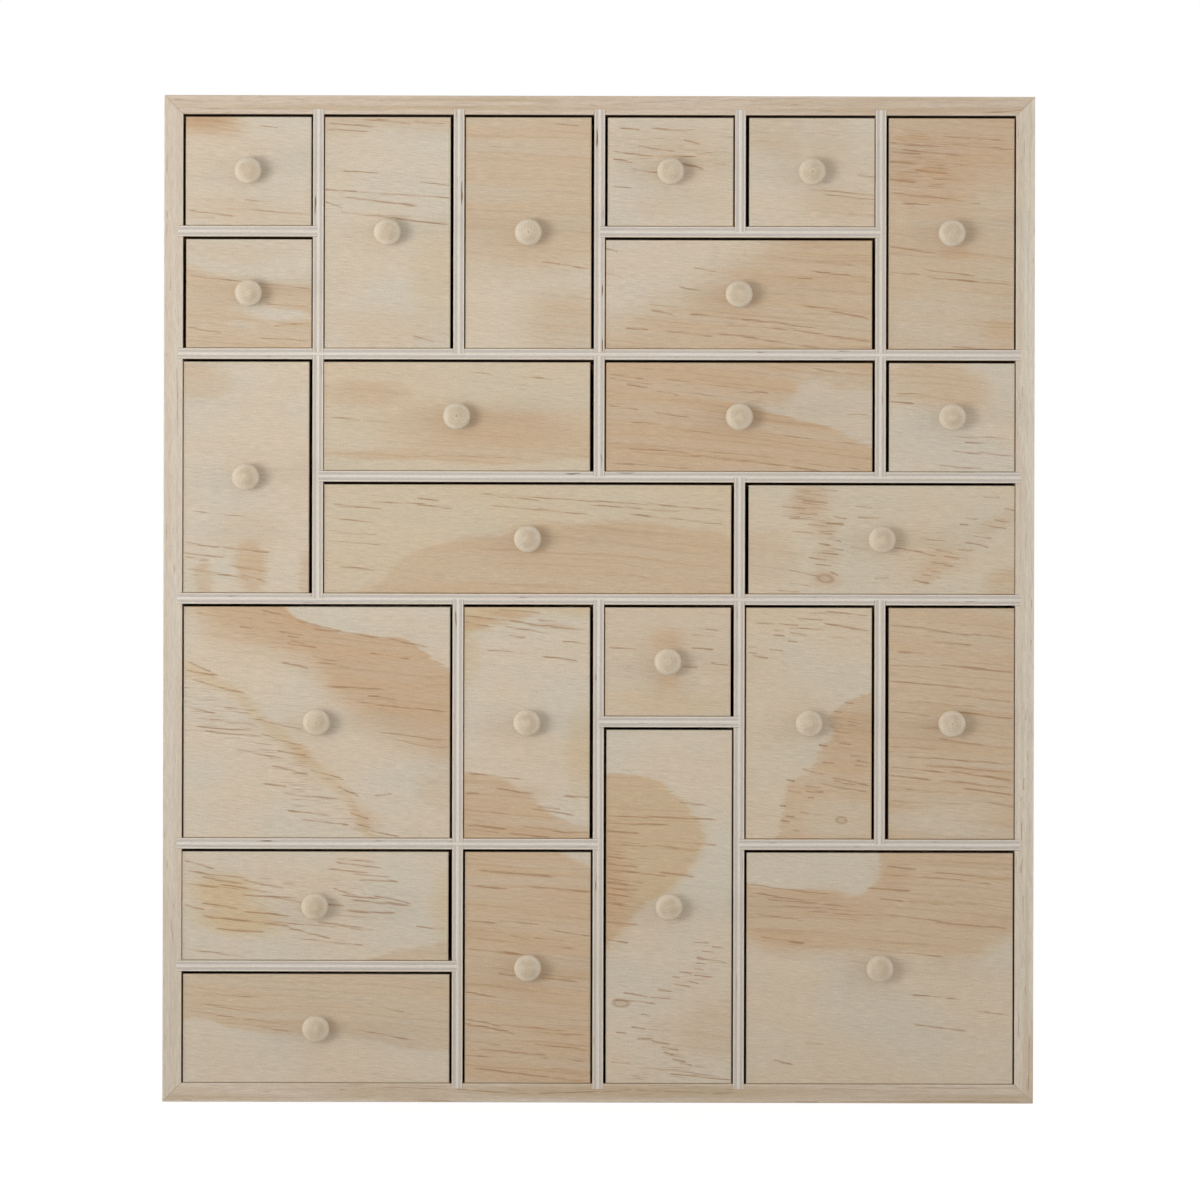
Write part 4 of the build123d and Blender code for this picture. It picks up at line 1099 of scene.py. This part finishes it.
def makeFrame():
    chestLow, chestHigh = [Vector(corner) for corner in cadBox]
    for order, (side, figure) in enumerate(frameBoards["boards"].items()):
        node = "frame_%s_board" % side
        board = copyNode(node)[0]
        low, high = boxOf(board)

        def onCorner(edge):
            # an outer corner of the chest, from the front to the back
            spans = abs(edge.verts[0].co.y - edge.verts[1].co.y) > 0.9 * (high.y - low.y)
            x, z = edge.verts[0].co.x, edge.verts[0].co.z
            outerX = min(abs(x - chestLow.x), abs(x - chestHigh.x)) < touching
            outerZ = min(abs(z - chestLow.z), abs(z - chestHigh.z)) < touching
            return spans and outerX and outerZ

        easeOuterEdges(board, frameBoards, onCorner)
        rename(board, "mitred_%s_board" % side)
        drift = [order * step for step in frameBoards["grainStep"]]
        setGrain(board, figure["axes"], (low + high) / 2, drift)
        board.data.materials.append(pineMaterial("pine_%s_board" % side, figure))
        hang(board, "carcass", "frame_pine", node)
    print("frame boards eased and painted")


# Shelves and uprights of plywood

dividers = {
    "thickness": 4.3,      # mm
    "layers": 5,
    "ease": 0.2,
    "shortest": 5.0,
    "grainStep": 210.0,    # mm along the grain from one board's wood to the next one's
    "grainAcross": 90.0,   # mm from the middle of the veneer
    "groups": {
        "upper_long_shelf": ("long_shelf_upper", lying),
        "lower_long_shelf": ("long_shelf_lower", lying),
        "short_shelves": ("short_shelf", lying),
        "upper_uprights": ("upright_upper", upright),
        "middle_uprights": ("upright_middle", upright),
        "lower_uprights": ("upright_lower", upright),
    },
}


def makeDividers(faceWood):
    edgeWood = plyEdgeMaterial("divider_ply_edge", dividers["thickness"], dividers["layers"])
    count = 0
    for node, (name, axes) in dividers["groups"].items():
        boards = copyNode(node, several=not node.endswith("long_shelf"))
        for number, board in enumerate(boards, start=1):
            low, high = boxOf(board)
            easeOuterEdges(board, dividers)
            rename(board, "%s_%d" % (name, number))
            count += 1
            drift = (count * dividers["grainStep"], dividers["grainAcross"], 0.0)
            setGrain(board, axes, (low + high) / 2, drift)
            paintBoard(board, faceWood, edgeWood, axes[2])
            hang(board, "carcass", "divider_plywood", node)
    print("dividers eased and painted:", count)


# Back panel and its pins

backPanel = {
    "thickness": 3.0,      # mm
    "layers": 3,
    "ease": 0.25,
    "shortest": 20.0,
    "grainAt": (3100.0, 700.0, 0.0),          # mm, its own place in the wood
}

backPin = {
    "headAcross": 2.4,     # mm
    "headThickness": 0.6,
    "shankAcross": 1.2,
    "length": 14.0,
    "pointLength": 2.0,
    "headRound": 0.15,
    "steps": 24,
}


def makeBack(faceWood):
    edgeWood = plyEdgeMaterial("back_ply_edge", backPanel["thickness"], backPanel["layers"])
    board = copyNode("back_panel")[0]
    low, high = boxOf(board)
    easeOuterEdges(board, backPanel)
    rename(board, "back_board")
    setGrain(board, facing, (low + high) / 2, backPanel["grainAt"])
    paintBoard(board, faceWood, edgeWood, axisY)
    hang(board, "carcass", "back_plywood", "back_panel")
    print("back panel done")


def makePins():
    head, shank = backPin["headAcross"] / 2, backPin["shankAcross"] / 2
    soft = backPin["headRound"]
    outline = [
        (0.0, 0.0),
        (head - soft, 0.0),
        (head, soft),
        (head, backPin["headThickness"]),
        (shank, backPin["headThickness"]),
        (shank, backPin["length"] - backPin["pointLength"]),
        (0.0, backPin["length"]),
    ]
    pattern = turnOutline(outline, backPin["steps"])
    pins = []
    for spot in copyNode("back_panel_pins", several=True):
        low, high = boxOf(spot)
        pins.append(copyTo(pattern, Vector(((low.x + high.x) / 2, high.y, (low.z + high.z) / 2))))
        bpy.data.objects.remove(spot)
    bpy.data.objects.remove(pattern)
    allPins = joinAll(pins)
    rename(allPins, "back_pins")
    setGrain(allPins, facing, Vector((0.0, 0.0, 0.0)))
    allPins.data.materials.append(steelMaterial("pin_steel_wire"))
    hang(allPins, "carcass", "pin_steel", "back_panel_pins")
    print("pins turned and set:", len(pins))


# Drawers: a veneered front, a tray of four boards behind it, and a turned knob

drawerFront = {
    "thickness": 4.0,      # mm
    "layers": 3,
    "roundOver": 0.45,     # on the edges of the face
    "roundSteps": 3,
    "ease": 0.15,
    "holeAcross": 4.1,
    "holeSteps": 32,
    "grainStep": 48.0,     # through the wood, from one front to the next
}

drawerTray = {
    "thickness": 3.0,      # mm, all four boards
    "layers": 3,
    "drop": 1.5,           # from the top of the front to the top of the sides
    "ease": 0.2,
    "grainStep": 170.0,    # along the wood, from one tray to the next
    "boardStep": 60.0,     # across it, from one board of a tray to the next
}

turnedKnob = {
    "tenonAcross": 4.0,    # mm
    "tenonShort": 0.15,    # the tenon ends this far inside the back of the front
    "tenonChamfer": 0.2,
    "neckAcross": 6.0,
    "neckLength": 3.4,
    "coveRadius": 1.6,
    "rimHeight": 4.0,
    "across": 10.8,
    "faceAcross": 9.2,
    "dome": 1.8,
    "arcSteps": 8,
    "grooveDepth": 0.06,
    "steps": 64,
    "pithNear": 4.0,       # the knobs are cut at several distances from the middle of the tree
    "pithSpread": 9,
    "pithTurn": 2.4,       # radians round it from one knob to the next
    "grainStep": 30.0,
}


def makeFront(number, low, high, edgeWood):
    backY = low.y + drawerFront["thickness"] * mm
    backCorner = Vector((high.x, backY, high.z))
    board = addBoard(low, backCorner)

    def onFace(edge):
        return all(point.co.y < low.y + touching for point in edge.verts)

    def onBack(edge):
        return all(point.co.y > backY - touching for point in edge.verts)

    easeEdges(board, drawerFront["roundOver"], onFace, drawerFront["roundSteps"])
    easeEdges(board, drawerFront["ease"], onBack)
    middle = (low + backCorner) / 2
    deselectAll()
    bpy.ops.mesh.primitive_cylinder_add(
        vertices=drawerFront["holeSteps"],
        radius=drawerFront["holeAcross"] / 2 * mm,
        depth=4 * drawerFront["thickness"] * mm,     # well through the board
        location=middle,
        rotation=(math.pi / 2, 0.0, 0.0),
    )
    drill = bpy.context.active_object
    workOn(board)
    hole = board.modifiers.new("hole", "BOOLEAN")
    hole.object = drill
    hole.solver = "EXACT"
    bpy.ops.object.modifier_apply(modifier="hole")
    bpy.data.objects.remove(drill)
    rename(board, "drawer_%s_front" % number)
    setGrain(board, facing, middle, (0.0, 0.0, int(number) * drawerFront["grainStep"]))
    faceWood = veneerMaterial("front_%s_veneer" % number, frontFigures[number])
    paintBoard(board, faceWood, edgeWood, axisY)
    return board


def makeTray(number, low, high, faceWood, edgeWood):
    wall = drawerTray["thickness"] * mm
    start = low.y + drawerFront["thickness"] * mm
    top = high.z - drawerTray["drop"] * mm
    floorTop = low.z + wall
    boards = [
        ((low.x, start, low.z), (low.x + wall, high.y, top), sideways),
        ((high.x - wall, start, low.z), (high.x, high.y, top), sideways),
        ((low.x + wall, high.y - wall, low.z), (high.x - wall, high.y, top), facing),
        ((low.x + wall, start, low.z), (high.x - wall, high.y - wall, floorTop), lying),
    ]
    made = []
    for order, (lowCorner, highCorner, axes) in enumerate(boards):
        boardLow, boardHigh = Vector(lowCorner), Vector(highCorner)
        board = addBoard(boardLow, boardHigh)
        easeEdges(board, drawerTray["ease"], lambda edge: True)
        drift = (int(number) * drawerTray["grainStep"], order * drawerTray["boardStep"], 0.0)
        setGrain(board, axes, (boardLow + boardHigh) / 2, drift)
        paintBoard(board, faceWood, edgeWood, axes[2])
        made.append(board)
    tray = joinAll(made)
    rename(tray, "drawer_%s_tray" % number)
    return tray


def arcPoints(middle, radius, start, end, steps):
    u, v = middle
    angles = [math.radians(start + (end - start) * step / steps) for step in range(steps + 1)]
    return [(u + radius * math.cos(angle), v + radius * math.sin(angle)) for angle in angles]


def knobOutline():
    # half section: radius and height above the drawer's face, in mm
    tenon, neck = turnedKnob["tenonAcross"] / 2, turnedKnob["neckAcross"] / 2
    cove, steps = turnedKnob["coveRadius"], turnedKnob["arcSteps"]
    under = turnedKnob["neckLength"] + cove
    rimTop = under + turnedKnob["rimHeight"]
    face = turnedKnob["faceAcross"] / 2
    widest = turnedKnob["across"] / 2
    tenonEnd = turnedKnob["tenonShort"] - drawerFront["thickness"]
    chamfer = turnedKnob["tenonChamfer"]
    outline = [(0.0, tenonEnd), (tenon - chamfer, tenonEnd), (tenon, tenonEnd + chamfer)]
    outline += [(tenon, 0.0), (neck, 0.0)]
    outline += arcPoints((neck + cove, turnedKnob["neckLength"]), cove, 180, 90, steps)
    bulge = widest - face
    halfRim = turnedKnob["rimHeight"] / 2
    rimRadius = (bulge**2 + halfRim**2) / (2 * bulge)
    spread = math.degrees(math.asin(halfRim / rimRadius))
    outline += arcPoints((widest - rimRadius, under + halfRim), rimRadius, -spread, spread, steps)[1:]
    domeRadius = (face**2 + turnedKnob["dome"] ** 2) / (2 * turnedKnob["dome"])
    lean = math.degrees(math.asin(face / domeRadius))
    tip = rimTop + turnedKnob["dome"]
    dome = arcPoints((0.0, tip - domeRadius), domeRadius, 90 - lean, 90, steps * 2)[1:]
    cut = turnedKnob["grooveDepth"]
    dome = [(radius, height - cut * (order % 2)) for order, (radius, height) in enumerate(dome)]
    return outline + dome[:-1] + [(0.0, dome[-1][1])]


def makeDrawers(faceWood):
    frontEdge = plyEdgeMaterial("front_ply_edge", drawerFront["thickness"], drawerFront["layers"])
    trayEdge = plyEdgeMaterial("tray_ply_edge", drawerTray["thickness"], drawerTray["layers"])
    turnedWood = knobMaterial("knob_turned_wood")
    pattern = turnOutline(knobOutline(), turnedKnob["steps"])
    for number in drawerNumbers:
        body, node = "drawer_" + number, "drawer_%s_box" % number
        low, high = [Vector(corner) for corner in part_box(node)]
        front = makeFront(number, low, high, frontEdge)
        hang(front, body, "drawer_plywood", node)
        hang(makeTray(number, low, high, faceWood, trayEdge), body, "drawer_plywood", node)
        place = Vector(((low.x + high.x) / 2, low.y, (low.z + high.z) / 2))
        knob = copyTo(pattern, place)
        rename(knob, "drawer_%s_turned_knob" % number)
        turn = int(number) * turnedKnob["pithTurn"]
        away = turnedKnob["pithNear"] + int(number) * 5 % turnedKnob["pithSpread"]
        drift = (away * math.cos(turn), away * math.sin(turn), int(number) * turnedKnob["grainStep"])
        setGrain(knob, facing, place, drift)
        knob.data.materials.append(turnedWood)
        hang(knob, body, "knob_wood", "drawer_%s_knob" % number)
    bpy.data.objects.remove(pattern)
    print("drawers built:", len(drawerNumbers))


insideVeneer = veneerMaterial("inside_veneer")
makeFrame()
makeDividers(insideVeneer)
makeBack(insideVeneer)
makePins()
makeDrawers(insideVeneer)


# Camera, straight on to the front

camera = {
    "away": 4.0,           # m from the front
    "aim": (0.0005, 0.1997),
    "field": 0.4768,       # m across the picture at the front
    "sensor": 36.0,
    "roll": -0.13,         # degrees
}


def placeCamera():
    data = bpy.data.cameras.new("camera")
    data.sensor_width = camera["sensor"]
    data.lens = camera["sensor"] * camera["away"] / camera["field"]
    data.dof.use_dof = False
    eye = addObject("camera", data)
    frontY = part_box("frame_top_board")[0][1]
    eye.location = (camera["aim"][0], frontY - camera["away"], camera["aim"][1])
    eye.rotation_euler = (math.pi / 2, math.radians(camera["roll"]), 0.0)
    bpy.context.scene.camera = eye


# White studio with a soft key from the left

studio = {
    "world": 0.54,
    "floorSide": 12.0,     # m
    "floorGlow": 0.88,     # share of the floor's white that the camera sees without shadow
    "floorWhite": 1.08,
    "floorTone": 0.75,
    "lamps": {
        "key": {
            "place": (-0.92, -1.55, 0.06),
            "aim": (-0.2, -0.04, 0.36),
            "cone": 54.0,  # degrees, fading from the upper left to the lower right of the front
            "radius": 0.42,
            "power": 84.0,
        },
        "rake": {
            "place": (-1.5, -0.42, 0.14),
            "aim": (0.0, -0.04, 0.22),
            "cone": 46.0,
            "radius": 0.12,
            "power": 16.0,
        },
        "fill": {
            "place": (-0.1, -2.2, 0.4),
            "aim": (-0.2, -0.04, 0.45),
            "cone": 36.0,
            "radius": 0.8,
            "power": 31.0,
        },
        "right": {
            "place": (1.6, -0.95, 0.4),
            "aim": (0.0, 0.0, 0.3),
            "cone": 60.0,
            "radius": 0.4,
            "power": 16.0,
        },
        "rear": {
            "place": (1.4, 1.6, 1.2),
            "aim": (0.0, 0.0, 0.2),
            "cone": 60.0,
            "radius": 0.6,
            "power": 60.0,
        },
    },
}


def seenDirectly(tree):
    path = tree.nodes.new("ShaderNodeLightPath")
    seen = calc(tree, "MAXIMUM", path.outputs["Is Camera Ray"], path.outputs["Is Glossy Ray"])
    return calc(tree, "MAXIMUM", seen, path.outputs["Is Transmission Ray"])


def makeWorld():
    world = bpy.data.worlds.new("studio")
    world.use_nodes = True
    bpy.context.scene.world = world
    tree = world.node_tree
    light = tree.nodes["Background"]
    light.inputs["Color"].default_value = (1.0, 1.0, 1.0, 1.0)
    strength = calc(tree, "MULTIPLY_ADD", seenDirectly(tree), 1.0 - studio["world"], studio["world"])
    plug(tree, light.inputs["Strength"], strength)


def makeFloor():
    deselectAll()
    bpy.ops.mesh.primitive_plane_add(size=studio["floorSide"])
    floor = bpy.context.active_object
    rename(floor, "floor")
    material, tree, shader = startMaterial("floor_white", 0.0)
    shader.inputs["Base Color"].default_value = (*[studio["floorTone"]] * 3, 1.0)
    shader.inputs["Roughness"].default_value = 1.0
    glow = tree.nodes.new("ShaderNodeEmission")
    glow.inputs["Strength"].default_value = studio["floorWhite"]
    blend = tree.nodes.new("ShaderNodeMixShader")
    plug(tree, blend.inputs[0], calc(tree, "MULTIPLY", seenDirectly(tree), studio["floorGlow"]))
    plug(tree, blend.inputs[1], shader.outputs[0])
    plug(tree, blend.inputs[2], glow.outputs[0])
    plug(tree, tree.nodes["Material Output"].inputs["Surface"], blend.outputs[0])
    floor.data.materials.append(material)


def addLamps():
    for name, lamp in studio["lamps"].items():
        data = bpy.data.lights.new(name, "SPOT")
        data.energy = lamp["power"]
        data.spot_size = math.radians(lamp["cone"])
        data.spot_blend = 1.0
        data.shadow_soft_size = lamp["radius"]
        light = addObject(name, data)
        light.location = lamp["place"]
        toAim = Vector(lamp["aim"]) - Vector(lamp["place"])
        light.rotation_euler = toAim.to_track_quat("-Z", "Y").to_euler()


placeCamera()
makeWorld()
makeFloor()
addLamps()
bpy.context.scene.view_settings.view_transform = "Standard"
print("camera and lights placed")
